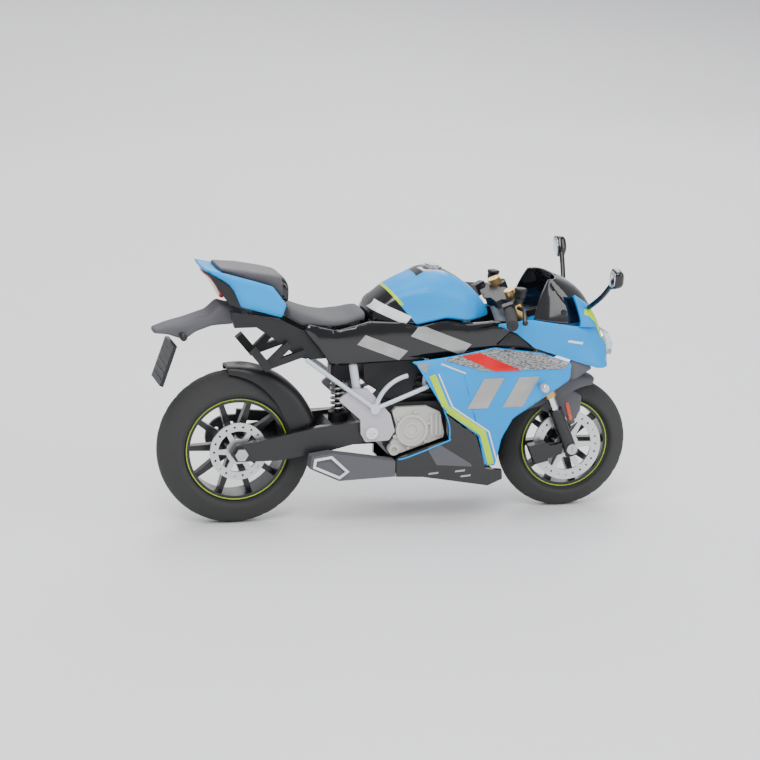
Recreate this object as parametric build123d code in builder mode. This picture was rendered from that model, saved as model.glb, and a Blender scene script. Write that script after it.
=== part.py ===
from build123d import *
import os
from math import cos, sin, tan, radians

# A 1:12 die-cast toy sport motorcycle with a light and a sound unit, in millimetres.
# X points forward, Y to the rider's left, Z up. Side-view stations (x, z) are measured from
# the middle of the wheelbase, on the ground; "ahead" and "up" are measured from the front axle
# across and along the fork legs. The row's origin is the bottom centre of the whole toy.

os.makedirs("parts", exist_ok=True)

# --- driving dimensions -----------------------------------------------------------------
wheelbase = 114.0
front_tyre_r = 22.5
rear_tyre_r = 26.0
front_tyre_half = 5.25
rear_tyre_half = 6.6
front_bead_r = 15.4
rear_bead_r = 17.4
rake = 22.5                # fork angle from the vertical, degrees
trail_offset = 3.0         # the steering axis lies this far behind the fork legs
leg_y = 9.5                # fork leg centres from the middle plane
fork_travel = 2.5
axle_r = 1.3
running = 0.05             # radial clearance of every turning or sliding fit
gap = 0.4                  # open space between bodies that pass each other
pivot_x, pivot_z = -13.5, 31.8   # swingarm pivot
plate_in, plate_t = 11.9, 1.3    # pivot plate's inner face and thickness
plate_tail_x = -84.7       # rearmost point, the plate holder's tip
half_bar = 31.5            # handlebar half width
engine_half = 10.6
fairing_in, fairing_t = 15.6, 1.8
panel_in, panel_t = 12.2, 1.4
tank_half = 13.6
cowl_in, cowl_t = 13.8, 1.8

front_x = wheelbase / 2
rear_x = -wheelbase / 2
mid = (-plate_tail_x - (front_x + front_tyre_r)) / 2   # wheelbase middle in the row frame
nose = front_x - 57.0      # shift of everything that stands with the steering head
fork_dir = Vector(-sin(radians(rake)), 0, cos(radians(rake)))
ahead_dir = Vector(cos(radians(rake)), 0, sin(radians(rake)))


def at(x, y, z):
    """The point at a station, in the row frame."""
    return Vector(mid + x, y, z)


def side(y):
    """The side-view plane at one lateral station: local x forward, local y up."""
    return Plane(origin=(mid, y, 0), x_dir=(1, 0, 0), z_dir=(0, -1, 0))


def on_fork(ahead, y, up):
    """A point measured from the front axle across and along the fork legs."""
    return at(front_x, y, front_tyre_r) + ahead_dir * ahead + fork_dir * up


def fork_plane(up):
    """The plane square to the fork legs at one height: local x ahead, local y to the left."""
    return Plane(origin=on_fork(0, 0, up), x_dir=ahead_dir, z_dir=fork_dir)


def slab(points, left, right, mode=Mode.ADD):
    """A plate cut to a side-view outline, from one lateral station to another further right."""
    with BuildSketch(side(left)) as outline:
        with BuildLine():
            Polyline(*points, close=True)
        make_face()
    extrude(outline.sketch, amount=left - right, mode=mode)


def drum(x, z, r, left, right, mode=Mode.ADD):
    """A round boss or hole along Y between two lateral stations."""
    with Locations(Plane(origin=at(x, left, z), z_dir=(0, -1, 0))):
        Cylinder(r, left - right, align=(Align.CENTER, Align.CENTER, Align.MIN), mode=mode)


def rod(start, end, r, mode=Mode.ADD):
    """A round bar between two points."""
    reach = end - start
    with Locations(Plane(origin=start, z_dir=reach)):
        Cylinder(r, reach.length, align=(Align.CENTER, Align.CENTER, Align.MIN), mode=mode)


def leg(ahead, y, low, high, r, mode=Mode.ADD):
    """A round bar or bore along the fork direction."""
    rod(on_fork(ahead, y, low), on_fork(ahead, y, high), r, mode)


# --- wheels -----------------------------------------------------------------------------
spoke_count = 10
spoke_half = 1.5           # half thickness of the cast spokes
front_hub_half, rear_hub_half = 5.9, 7.2
disc_t = 0.8
front_disc_r, rear_disc_r = 12.0, 9.6
hub_r = 4.2


def tyre(x, tyre_r, half, bead_r, crown):
    """A rubber tyre with rounded shoulders and a narrow flat crown that it stands on."""
    bead_half = half - 1.4
    shoulder_r = bead_r + 0.42 * (tyre_r - bead_r)
    bulge_y = crown + 0.76 * (half - crown)
    bulge_r = shoulder_r + 0.74 * (tyre_r - shoulder_r)
    with BuildPart() as ring:
        with BuildSketch(Plane(origin=at(x, 0, tyre_r), x_dir=(0, 1, 0), z_dir=(1, 0, 0))):
            with BuildLine():
                Polyline((-half, shoulder_r), (-bead_half, bead_r), (bead_half, bead_r),
                         (half, shoulder_r))
                ThreePointArc((half, shoulder_r), (bulge_y, bulge_r), (crown, tyre_r))
                Line((crown, tyre_r), (-crown, tyre_r))
                ThreePointArc((-crown, tyre_r), (-bulge_y, bulge_r), (-half, shoulder_r))
            make_face()
        revolve(axis=Axis(at(x, 0, tyre_r), (0, 1, 0)))
    return ring


def rim(x, tyre_r, half, bead_r, hub_half, left_boss):
    """A cast rim: barrel, ten tapered spokes and a bored hub."""
    barrel_half = half - 1.4
    with BuildPart() as cast:
        with BuildSketch(side(barrel_half)) as barrel:
            with Locations((x, tyre_r)):
                Circle(bead_r)
                Circle(bead_r - 1.5, mode=Mode.SUBTRACT)
        extrude(barrel.sketch, amount=2 * barrel_half)
        with BuildSketch(side(spoke_half)) as spokes:
            with Locations((x, tyre_r)):
                with PolarLocations(0, spoke_count):
                    Polygon((0, -1.5), (bead_r - 1.2, -0.8), (bead_r - 1.2, 0.8), (0, 1.5), align=None)
        extrude(spokes.sketch, amount=2 * spoke_half)
        drum(x, tyre_r, hub_r, hub_half + left_boss, -hub_half)
        drum(x, tyre_r, axle_r + running, hub_half + left_boss, -hub_half, Mode.SUBTRACT)
    return cast


def disc(x, z, disc_r, hub_half, holes):
    """A drilled brake disc on six carrier arms, against the hub's right face."""
    with BuildPart() as plate:
        with BuildSketch(side(-hub_half)) as face:
            with Locations((x, z)):
                Circle(disc_r)
                Circle(0.72 * disc_r, mode=Mode.SUBTRACT)
                with PolarLocations(0, 6):
                    Polygon((0, -1.3), (0.76 * disc_r, -0.7), (0.76 * disc_r, 0.7), (0, 1.3), align=None)
                Circle(hub_r)
                Circle(axle_r + running, mode=Mode.SUBTRACT)
                with PolarLocations(0.86 * disc_r, holes):
                    Circle(0.42, mode=Mode.SUBTRACT)
        extrude(face.sketch, amount=disc_t)
    return plate


front_rim = rim(front_x, front_tyre_r, front_tyre_half, front_bead_r, front_hub_half, disc_t)
front_rim.part.label = "front_rim"
export_step(front_rim.part, "parts/front_rim.step")

front_tyre = tyre(front_x, front_tyre_r, front_tyre_half, front_bead_r, crown=1.8)
front_tyre.part.label = "front_tyre"
export_step(front_tyre.part, "parts/front_tyre.step")

front_disc = disc(front_x, front_tyre_r, front_disc_r, front_hub_half, holes=24)
front_disc.part.label = "front_disc"
export_step(front_disc.part, "parts/front_disc.step")

rear_rim = rim(rear_x, rear_tyre_r, rear_tyre_half, rear_bead_r, rear_hub_half, disc_t)
rear_rim.part.label = "rear_rim"
export_step(rear_rim.part, "parts/rear_rim.step")

rear_tyre = tyre(rear_x, rear_tyre_r, rear_tyre_half, rear_bead_r, crown=2.5)
rear_tyre.part.label = "rear_tyre"
export_step(rear_tyre.part, "parts/rear_tyre.step")

rear_disc = disc(rear_x, rear_tyre_r, rear_disc_r, rear_hub_half, holes=18)
rear_disc.part.label = "rear_disc"
export_step(rear_disc.part, "parts/rear_disc.step")

# --- fork and steering --------------------------------------------------------------------
inner_r, outer_r = 1.45, 2.2
foot_r = 2.3
foot_low, foot_high = -2.6, 14.5
outer_low, outer_high = foot_high + fork_travel + 2.5, 60.0
inner_high = 36.0
lower_clamp_low, clamp_t = 38.0, 3.0
head_low, head_high = lower_clamp_low + clamp_t + gap, 54.6
upper_clamp_low = head_high + gap
stem_r, head_r = 1.6, 3.5
foot_in = leg_y - foot_r   # inner face of the fork feet
tube_floor = axle_r + 0.7

with BuildPart() as fork_inner_tubes:
    leg(0, leg_y, tube_floor, inner_high, inner_r)
    mirror(about=Plane.XZ)
fork_inner_tubes.part.label = "fork_inner_tubes"
export_step(fork_inner_tubes.part, "parts/fork_inner_tubes.step")

with BuildPart() as fork_feet:
    leg(0, leg_y, foot_low, foot_high, foot_r)
    leg(0, leg_y, tube_floor, foot_high, inner_r, Mode.SUBTRACT)
    mirror(about=Plane.XZ)
    drum(front_x, front_tyre_r, axle_r, leg_y + foot_r, -leg_y - foot_r, Mode.SUBTRACT)
fork_feet.part.label = "fork_feet"
export_step(fork_feet.part, "parts/fork_feet.step")

with BuildPart() as front_axle:
    drum(front_x, front_tyre_r, axle_r, leg_y + foot_r, -leg_y - foot_r)
    drum(front_x, front_tyre_r, axle_r + 0.5, -leg_y - foot_r, -leg_y - foot_r - 0.8)
    with Locations(Plane(origin=at(front_x, -leg_y - foot_r - 0.8, front_tyre_r), z_dir=(0, -1, 0))):
        Box(1.8, 0.4, 0.8, mode=Mode.SUBTRACT)
front_axle.part.label = "front_axle"
export_step(front_axle.part, "parts/front_axle.step")

# The fender is a band over the tyre with skirts, carried by two brackets on the fork feet.
fender_in_r = front_tyre_r + 1.3
fender_half = front_tyre_half + 1.3
fender_t = 0.9
fender_from, fender_to = 64, 148   # degrees round the axle from straight ahead
with BuildPart() as front_fender:
    with BuildSketch(side(fender_half)) as band:
        with Locations((front_x, front_tyre_r)):
            Circle(fender_in_r + fender_t)
            Circle(fender_in_r, mode=Mode.SUBTRACT)
    extrude(band.sketch, amount=2 * fender_half)
    for skirt_y in (fender_half, -fender_half + fender_t):
        with BuildSketch(side(skirt_y)) as skirt:
            with Locations((front_x, front_tyre_r)):
                Circle(fender_in_r + fender_t)
                Circle(fender_in_r - 4.5, mode=Mode.SUBTRACT)
        extrude(skirt.sketch, amount=fender_t)
    reach = 2 * fender_in_r
    arc_turns = [radians(fender_from + (fender_to - fender_from) * step / 4) for step in range(5)]
    arc_points = [(reach * cos(turn), reach * sin(turn)) for turn in arc_turns]
    with BuildSketch(side(fender_half)) as sector:
        with Locations((front_x, front_tyre_r)):
            Polygon((0, 0), *arc_points, align=None)
    extrude(sector.sketch, amount=2 * fender_half, mode=Mode.INTERSECT)
    for bracket_y in (fender_half, -fender_half + fender_t):
        slab([(front_x - 9.5, front_tyre_r + 13.5), (front_x - 3.6, front_tyre_r + 12.4),
              (front_x + 0.5, front_tyre_r + 13.8), (front_x + 5.0, front_tyre_r + 20.5),
              (front_x - 12.5, front_tyre_r + 18.5)], bracket_y, bracket_y - fender_t)
    for pad_y in (foot_in, -fender_half):
        slab([(front_x - 7.8, front_tyre_r + 13.2), (front_x - 3.8, front_tyre_r + 12.4),
              (front_x - 2.6, front_tyre_r + 13.6), (front_x - 7.0, front_tyre_r + 14.6)],
             pad_y, pad_y - (foot_in - fender_half))
front_fender.part.label = "front_fender"
export_step(front_fender.part, "parts/front_fender.step")

caliper_out = 10.6
with BuildPart() as front_caliper:
    pads = -front_hub_half - disc_t - gap
    slab([(front_x - 14.8, front_tyre_r + 1.2), (front_x - 12.2, front_tyre_r - 5.2),
          (front_x - 7.8, front_tyre_r - 4.2), (front_x - 6.2, front_tyre_r + 0.6),
          (front_x - 9.0, front_tyre_r + 2.4)], pads, -caliper_out)
    slab([(front_x - 8.0, front_tyre_r + 0.8), (front_x - 8.0, front_tyre_r - 3.4),
          (front_x - 2.9, front_tyre_r - 1.9), (front_x - 2.9, front_tyre_r + 1.9)], -leg_y + 0.9, -caliper_out)
    leg(0, -leg_y, foot_low - 1, foot_high, foot_r, Mode.SUBTRACT)
front_caliper.part.label = "front_caliper"
export_step(front_caliper.part, "parts/front_caliper.step")

with BuildPart() as fork_outer_tubes:
    leg(0, leg_y, outer_low, outer_high, outer_r)
    leg(0, leg_y, outer_low, inner_high + fork_travel + 1.0, inner_r + running, Mode.SUBTRACT)
    mirror(about=Plane.XZ)
fork_outer_tubes.part.label = "fork_outer_tubes"
export_step(fork_outer_tubes.part, "parts/fork_outer_tubes.step")


def clamp(low, bolt_gap):
    """A triple clamp's plate: two split rings round the fork legs, joined behind by a bridge."""
    with BuildSketch(fork_plane(low)) as plate:
        for y in (leg_y, -leg_y):
            with Locations((0, y)):
                Circle(outer_r + 1.4)
        with Locations((-trail_offset, 0)):
            Rectangle(5.6, 2 * leg_y)
        with Locations((-trail_offset, 0)):
            Circle(stem_r + 2.4)
        for y in (leg_y, -leg_y):
            with Locations((0, y)):
                Circle(outer_r, mode=Mode.SUBTRACT)
            with Locations((outer_r + 1.0, y)):
                Rectangle(3.0, bolt_gap, mode=Mode.SUBTRACT)
    extrude(plate.sketch, amount=clamp_t)


with BuildPart() as lower_clamp:
    clamp(lower_clamp_low, bolt_gap=0.6)
    leg(-trail_offset, 0, lower_clamp_low, upper_clamp_low, stem_r)
lower_clamp.part.label = "lower_clamp"
export_step(lower_clamp.part, "parts/lower_clamp.step")

# The handlebars are one moulding with the upper clamp, as on most small toy motorcycles.
bar_r, grip_r = 1.2, 1.7
bar_root = on_fork(-0.5, leg_y + 2.9, upper_clamp_low + 1.6)
grip_start = on_fork(-4.2, 17.5, upper_clamp_low + 1.2)
grip_end = on_fork(-8.0, half_bar, upper_clamp_low + 0.2)
with BuildPart() as handlebars:
    clamp(upper_clamp_low, bolt_gap=0.6)
    rod(bar_root, grip_start, bar_r)
    rod(grip_start - (grip_end - bar_root).normalized() * 1.0, grip_end, grip_r)
    with Locations(Plane(origin=grip_start, x_dir=(grip_end - grip_start), z_dir=fork_dir)):
        Box(3.2, 3.8, 4.0)
    mirror(about=Plane.XZ)
    for y in (leg_y, -leg_y):
        leg(0, y, upper_clamp_low - 2.0, outer_high, outer_r, Mode.SUBTRACT)
handlebars.part.label = "handlebars"
export_step(handlebars.part, "parts/handlebars.step")

with BuildPart() as hand_levers:
    blade_root = on_fork(-1.4, 18.2, upper_clamp_low + 0.6)
    blade_elbow = on_fork(-0.6, 21.5, upper_clamp_low + 0.2)
    blade_tip = on_fork(-3.6, half_bar - 1.0, upper_clamp_low - 1.0)
    rod(blade_root, blade_elbow, 0.65)
    rod(blade_elbow, blade_tip, 0.65)
    with Locations(blade_elbow):
        Sphere(0.65)
    with Locations(blade_tip):
        Sphere(0.95)
    with Locations(Plane(origin=grip_start, x_dir=(grip_end - grip_start), z_dir=fork_dir)):
        Box(3.4, 4.0, 4.2, mode=Mode.SUBTRACT)
    mirror(about=Plane.XZ)
hand_levers.part.label = "hand_levers"
export_step(hand_levers.part, "parts/hand_levers.step")

# --- swingarm and rear suspension ---------------------------------------------------------
arm_in, arm_t = 9.0, 2.4
pivot_bolt_r = 1.3
swing_sleeve_r = 3.2
shock_x = -21.6
peg_r, seat_r, swing_play = 1.3, 3.4, 2.4
spring_low, spring_high = 36.2, 47.5
arm_out = arm_in + arm_t
swing_half = plate_in - gap
cross_back = rear_x + rear_tyre_r + 3.3   # the arm's cross member stands clear of the tyre
arm_front, arm_back = (pivot_x - 17.0, pivot_z + 2.2), (rear_x + 7.0, rear_tyre_r + 4.2)


def arm_top(share):
    """A point on the swingarm's upper edge, as a share of the way from its bend to the axle block."""
    return (arm_front[0] + share * (arm_back[0] - arm_front[0]),
            arm_front[1] + share * (arm_back[1] - arm_front[1]))


with BuildPart() as swingarm:
    slab([(pivot_x + 2.4, pivot_z + 1.6), (pivot_x - 1.0, pivot_z + 3.4), arm_front, arm_back,
          (rear_x - 1.6, rear_tyre_r + 2.9), (rear_x - 3.4, rear_tyre_r),
          (rear_x - 1.6, rear_tyre_r - 2.6), (rear_x + 12.0, rear_tyre_r - 2.8),
          (pivot_x - 15.0, pivot_z - 6.4), (pivot_x - 1.0, pivot_z - 3.2), (pivot_x + 2.4, pivot_z - 1.8)],
         arm_out, arm_in)
    mirror(about=Plane.XZ)
    drum(pivot_x, pivot_z, swing_sleeve_r, swing_half, -swing_half)
    slab([(pivot_x, pivot_z + 1.6), (cross_back + 2.6, pivot_z + 1.6), (cross_back, pivot_z - 1.0),
          (cross_back + 0.8, pivot_z - 3.6), (pivot_x, pivot_z - 1.8)], arm_in + 0.5, -arm_in - 0.5)
    rod(at(shock_x, 0, pivot_z), at(shock_x, 0, spring_high + 3.5), peg_r)
    rod(at(shock_x, 0, pivot_z), at(shock_x, 0, spring_low), seat_r)
    drum(pivot_x, pivot_z, pivot_bolt_r + running, swing_half, -swing_half, Mode.SUBTRACT)
    drum(rear_x, rear_tyre_r, axle_r, arm_out, -arm_out, Mode.SUBTRACT)
swingarm.part.label = "swingarm"
export_step(swingarm.part, "parts/swingarm.step")

with BuildPart() as shock_spring:
    coil_r, wire_r = 2.5, 0.35
    with BuildLine():
        Helix(pitch=1.7, height=spring_high - spring_low - 2 * wire_r, radius=coil_r,
              center=at(shock_x, 0, spring_low + wire_r))
    with BuildSketch(Plane(origin=at(shock_x + coil_r, 0, spring_low + wire_r), z_dir=(0, 1, 0))):
        Circle(wire_r)
    sweep(is_frenet=True)
shock_spring.part.label = "shock_spring"
export_step(shock_spring.part, "parts/shock_spring.step")

with BuildPart() as rear_axle:
    drum(rear_x, rear_tyre_r, axle_r, arm_out, -arm_out)
    for outer in (arm_out, -arm_out - 1.6):
        with BuildSketch(side(outer + 1.6)) as nut:
            with Locations((rear_x, rear_tyre_r)):
                RegularPolygon(2.2, 6)
        extrude(nut.sketch, amount=1.6)
rear_axle.part.label = "rear_axle"
export_step(rear_axle.part, "parts/rear_axle.step")

# The hugger is a band over the tyre; its skirts stand on the swingarm's upper edge.
hugger_in_r = rear_tyre_r + 0.8
hugger_t = 0.8
hugger_half = arm_in - 0.5
hugger_from, hugger_to = 18, 96
with BuildPart() as rear_hugger:
    with BuildSketch(side(hugger_half)) as band:
        with Locations((rear_x, rear_tyre_r)):
            Circle(hugger_in_r + hugger_t)
            Circle(hugger_in_r, mode=Mode.SUBTRACT)
    extrude(band.sketch, amount=2 * hugger_half)
    wide = 2 * hugger_in_r
    sweep_turns = [radians(hugger_from + (hugger_to - hugger_from) * step / 4) for step in range(5)]
    sweep_points = [(wide * cos(turn), wide * sin(turn)) for turn in sweep_turns]
    with BuildSketch(side(hugger_half)) as sector:
        with Locations((rear_x, rear_tyre_r)):
            Polygon((0, 0), *sweep_points, align=None)
    extrude(sector.sketch, amount=2 * hugger_half, mode=Mode.INTERSECT)
    skirt_front, skirt_rear = arm_top(0.04), arm_top(0.42)
    for inner in (hugger_half, -hugger_half + hugger_t):
        slab([skirt_front, (skirt_front[0] - 0.4, skirt_front[1] + 3.0), (rear_x + 20.5, rear_tyre_r + 19.0),
              (rear_x + 13.0, rear_tyre_r + 24.2), skirt_rear], inner, inner - hugger_t)
    for inner in (arm_out - 0.6, -hugger_half + hugger_t):
        slab([skirt_front, (skirt_front[0], skirt_front[1] + 1.0), (skirt_rear[0], skirt_rear[1] + 1.0),
              skirt_rear], inner, inner - (arm_out - 0.6 - hugger_half + hugger_t))
rear_hugger.part.label = "rear_hugger"
export_step(rear_hugger.part, "parts/rear_hugger.step")

# The chain is one moulding with its upper guard, held to the left arm's outer face.
sprocket_r, chain_t = 7.4, 1.6
with BuildPart() as chain:
    with BuildSketch(side(arm_out + chain_t)) as loop:
        with BuildLine():
            Polyline((pivot_x - 5.6, pivot_z + 2.6), (rear_x, rear_tyre_r + sprocket_r))
            ThreePointArc((rear_x, rear_tyre_r + sprocket_r), (rear_x - sprocket_r, rear_tyre_r),
                          (rear_x, rear_tyre_r - sprocket_r))
            Polyline((rear_x, rear_tyre_r - sprocket_r), (pivot_x - 5.6, pivot_z - 4.0),
                     (pivot_x - 5.6, pivot_z + 2.6))
        make_face()
        offset(amount=-1.6, mode=Mode.SUBTRACT)
        with Locations((rear_x + 16, rear_tyre_r + 6.2)):
            Rectangle(26, 3.6, rotation=-6)
        with Locations((rear_x, rear_tyre_r)):
            Circle(sprocket_r)
            Circle(axle_r + 1.4, mode=Mode.SUBTRACT)
            with PolarLocations(4.6, 5):
                Circle(0.9, mode=Mode.SUBTRACT)
    extrude(loop.sketch, amount=chain_t)
chain.part.label = "chain"
export_step(chain.part, "parts/chain.step")

# --- frame ----------------------------------------------------------------------------------
spar_y, spar_r = 10.3, 1.4
beam_front, beam_back, beam_low, beam_high = -19.0, -24.0, 56.6, 59.2
plate_out = plate_in + plate_t
tube_y, tube_r = plate_out + 0.8, 0.75
lug_x, lug_z = -17.5, 43.0
joint_x, joint_z = -12.6, 40.0
with BuildPart() as main_frame:
    head_side = on_fork(-trail_offset - 1.0, 2.0, head_low + 4.5)
    shoulder = at(20.0, spar_y, 60.8)
    corner = at(beam_front - 1.0, spar_y, beam_high - spar_r)
    lug = at(lug_x, spar_y, lug_z)
    rod(head_side, shoulder, spar_r)
    rod(shoulder, corner, spar_r)
    rod(corner, lug, spar_r)
    for joint in (shoulder, corner, lug):
        with Locations(joint):
            Sphere(spar_r)
    drum(lug_x, lug_z, 1.9, plate_in, spar_y)
    upper_joint = at(5.1, tube_y, 46.8)
    rod(upper_joint, at(5.1, spar_y, 46.8), tube_r)
    rod(at(5.1, spar_y, 46.8), at(6.0, spar_y, 60.0), tube_r)
    with Locations(upper_joint, at(5.1, spar_y, 46.8)):
        Sphere(tube_r)
    rod(upper_joint, at(joint_x, tube_y, joint_z), tube_r)
    rod(at(-35.7, tube_y, 57.3), at(joint_x, tube_y, joint_z), tube_r)
    with Locations(at(-35.7, tube_y, 57.3)):
        Sphere(tube_r)
    drum(joint_x, joint_z, 1.6, tube_y + tube_r, plate_out)
    with BuildLine(side(tube_y)) as bend:
        ThreePointArc((joint_x + 0.2, joint_z), (-9.2, 46.6), (-1.7, 50.9))
    with BuildSketch(Plane(origin=bend.line @ 0, z_dir=bend.line % 0)) as bend_section:
        Circle(tube_r)
    sweep(bend_section.sketch, path=bend.line)
    mirror(about=Plane.XZ)
    leg(-trail_offset, 0, head_low, head_high, head_r)
    slab([(beam_front, beam_low), (beam_front, beam_high), (beam_back, beam_high), (beam_back, beam_low)],
         spar_y, -spar_y)
    leg(-trail_offset, 0, head_low, head_high, stem_r + running, Mode.SUBTRACT)
main_frame.part.label = "main_frame"
export_step(main_frame.part, "parts/main_frame.step")

with BuildPart() as pivot_plates:
    slab([(-20.2, 46.9), (-14.8, 46.7), (-7.1, 37.8), (-5.4, 32.0), (-7.4, 28.9), (-15.4, 28.6), (-17.0, 31.4),
          (-17.2, 36.3), (-24.9, 43.3)], plate_out, plate_in)
    fillet(pivot_plates.edges().filter_by(Axis.Y), radius=0.9)
    mirror(about=Plane.XZ)
    drum(pivot_x, pivot_z, pivot_bolt_r, plate_out, -plate_out, Mode.SUBTRACT)
pivot_plates.part.label = "pivot_plates"
export_step(pivot_plates.part, "parts/pivot_plates.step")

with BuildPart() as pivot_bolt:
    drum(pivot_x, pivot_z, pivot_bolt_r, plate_out, -plate_out)
    for outer in (plate_out + 1.1, -plate_out):
        drum(pivot_x, pivot_z, pivot_bolt_r + 0.7, outer, outer - 1.1)
    with Locations(Plane(origin=at(pivot_x, -plate_out - 1.1, pivot_z), z_dir=(0, -1, 0))):
        Box(2.4, 0.5, 0.8, mode=Mode.SUBTRACT)
        Box(0.5, 2.4, 0.8, mode=Mode.SUBTRACT)
pivot_bolt.part.label = "pivot_bolt"
export_step(pivot_bolt.part, "parts/pivot_bolt.step")

rail_in, rail_out = 8.2, 10.2
with BuildPart() as rear_subframe:
    slab([(beam_back, 66.2), (beam_back, 57.0), (-34.8, 56.7), (-38.4, 57.9), (-42.9, 61.8), (-52.0, 68.1),
          (-59.2, 68.1), (-60.6, 73.4), (-44.2, 70.4), (-36.5, 66.6)], rail_out, rail_in)
    mirror(about=Plane.XZ)
    slab([(beam_back, 64.6), (beam_back, 58.2), (beam_back - 2.0, 58.2), (beam_back - 2.0, 64.6)],
         rail_in, -rail_in)
    slab([(-53.6, 69.4), (-58.8, 69.4), (-59.8, 72.8), (-53.6, 71.6)], rail_in, -rail_in)
rear_subframe.part.label = "rear_subframe"
export_step(rear_subframe.part, "parts/rear_subframe.step")

with BuildPart() as shock_body:
    back, front = shock_x - seat_r, shock_x + seat_r + swing_play
    slab([(back, spring_high), (back, beam_low), (front, beam_low), (front, spring_high)], seat_r, -seat_r)
    chamfer(shock_body.edges().filter_by(Axis.Z), length=1.0)
    slot = peg_r + gap
    slab([(shock_x - slot, spring_high), (shock_x - slot, beam_low - 1.2),
          (shock_x + swing_play + slot, beam_low - 1.2), (shock_x + swing_play + slot, spring_high)],
         slot, -slot, Mode.SUBTRACT)
shock_body.part.label = "shock_body"
export_step(shock_body.part, "parts/shock_body.step")

# --- engine ---------------------------------------------------------------------------------
case_top = 41.0
airbox_back = shock_x + seat_r + swing_play + 0.6
with BuildPart() as engine_block:
    slab([(-9.0, 27.0), (-5.6, 21.8), (16.0, 21.8), (19.6, 26.0), (19.6, 35.0), (14.5, case_top),
          (-5.0, case_top), (-9.0, 37.4)], engine_half, -engine_half)
    chamfer(engine_block.edges().filter_by(Axis.Y), length=0.6)
    slab([(2.0, case_top - 1), (15.0, case_top - 1), (19.0, 53.2), (6.4, 57.2)], 7.6, -7.6)
    slab([(-4.6, case_top - 0.6), (3.0, case_top - 0.6), (6.0, 56.2), (airbox_back, 56.2),
          (airbox_back + 0.6, 47.4), (-8.8, 43.6)], 7.2, -7.2)
    for fin in range(5):
        low = case_top + 1.6 + 2.0 * fin
        slab([(1.6 + 0.5 * fin, low), (15.8 + 0.62 * fin, low - 0.8), (16.0 + 0.62 * fin, low),
              (1.8 + 0.5 * fin, low + 0.8)], 8.4, -8.4)
    drum(-7.6, 35.2, 1.6, plate_in, -plate_in)
engine_block.part.label = "engine_block"
export_step(engine_block.part, "parts/engine_block.step")


def engine_cover(sign, x, z, r):
    """A cast side cover on the crankcase: a flat casing, a round dome with a rim and a raised inner ring."""
    def span(low, high):
        return (sign * high, sign * low) if sign > 0 else (sign * low, sign * high)

    face = engine_half + 1.8
    slab([(-6.6, 27.8), (-6.0, 23.9), (-3.9, 23.9), (11.4, 28.9), (11.8, 30.4), (10.2, 37.6), (5.6, 39.8),
          (-5.0, 39.8), (-6.2, 38.4), (-4.6, 33.0), (-5.0, 30.0)], *span(engine_half, face))
    drum(x, z, r, *span(face - 0.4, face + 1.2))
    drum(x, z, r - 0.9, *span(face + 0.5, face + 1.2), Mode.SUBTRACT)
    drum(x, z, r * 0.52, *span(face, face + 0.9))
    drum(x, z, r * 0.36, *span(face + 0.45, face + 0.9), Mode.SUBTRACT)
    for bolt in range(6):
        angle = radians(60 * bolt + 20)
        drum(x + (r + 0.7) * cos(angle), z + (r + 0.7) * sin(angle), 0.6, *span(face - 0.2, face + 0.7))
    for rib_x in (7.0, 8.6, 10.0):
        slab([(rib_x, 29.8), (rib_x + 0.7, 29.8), (rib_x + 0.3, 37.0), (rib_x - 0.4, 37.0)],
             *span(face - 0.2, face + 0.8))


with BuildPart() as clutch_cover:
    engine_cover(-1, 0.4, 32.0, 5.4)
    drum(-5.6, 25.6, 1.9, -engine_half, -engine_half - 3.0)
    drum(-5.6, 25.6, 1.0, -engine_half - 2.2, -engine_half - 3.0, Mode.SUBTRACT)
clutch_cover.part.label = "clutch_cover"
export_step(clutch_cover.part, "parts/clutch_cover.step")

with BuildPart() as alternator_cover:
    engine_cover(1, 0.6, 32.4, 5.0)
alternator_cover.part.label = "alternator_cover"
export_step(alternator_cover.part, "parts/alternator_cover.step")

radiator_x = (front_x - front_tyre_r) - 7.0
with BuildPart() as radiator:
    slab([(radiator_x, 31.0), (radiator_x + 2.6, 31.6), (radiator_x + 1.6, 51.6), (radiator_x - 1.0, 51.0)],
         10.0, -10.0)
    for low in range(8):
        slab([(radiator_x + 1.2, 33.2 + 2.2 * low), (radiator_x + 4.0, 33.2 + 2.2 * low),
              (radiator_x + 4.0, 33.9 + 2.2 * low), (radiator_x + 1.2, 33.9 + 2.2 * low)],
             8.4, -8.4, Mode.SUBTRACT)
    slab([(radiator_x - 0.6, 44.0), (radiator_x + 1.6, 44.0), (radiator_x + 1.4, 46.6),
          (radiator_x - 0.6, 46.6)], fairing_in, -fairing_in)
    drum(radiator_x, 50.0, 1.0, 9.0, -9.0)
radiator.part.label = "radiator"
export_step(radiator.part, "parts/radiator.step")

pipe_r = 1.6
can_in, can_out = arm_out + 0.6, 17.0
with BuildPart() as exhaust:
    bends = [at(19.8, 0, 48.4), at(22.6, 0, 44.0), at(22.6, 0, 22.5), at(19.5, -3.0, 19.7),
             at(14.0, -7.0, 19.7), at(0, -7.0, 19.7)]
    for start, end in zip(bends, bends[1:]):
        rod(start, end, pipe_r)
    for bend_point in bends[1:-1]:
        with Locations(bend_point):
            Sphere(pipe_r)
    slab([(2.0, 20.9), (-24.0, 22.0), (-29.0, 20.6), (-25.1, 17.2), (-2.0, 17.9), (2.0, 18.5)], -5.0, -can_in)
    slab([(-6.0, 22.6), (-20.0, 25.0), (-27.8, 26.3), (-34.4, 25.4), (-35.0, 21.4),
          (-25.1, 16.8), (-6.0, 17.4)], -can_in, -can_out)
exhaust.part.label = "exhaust"
export_step(exhaust.part, "parts/exhaust.step")

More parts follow.
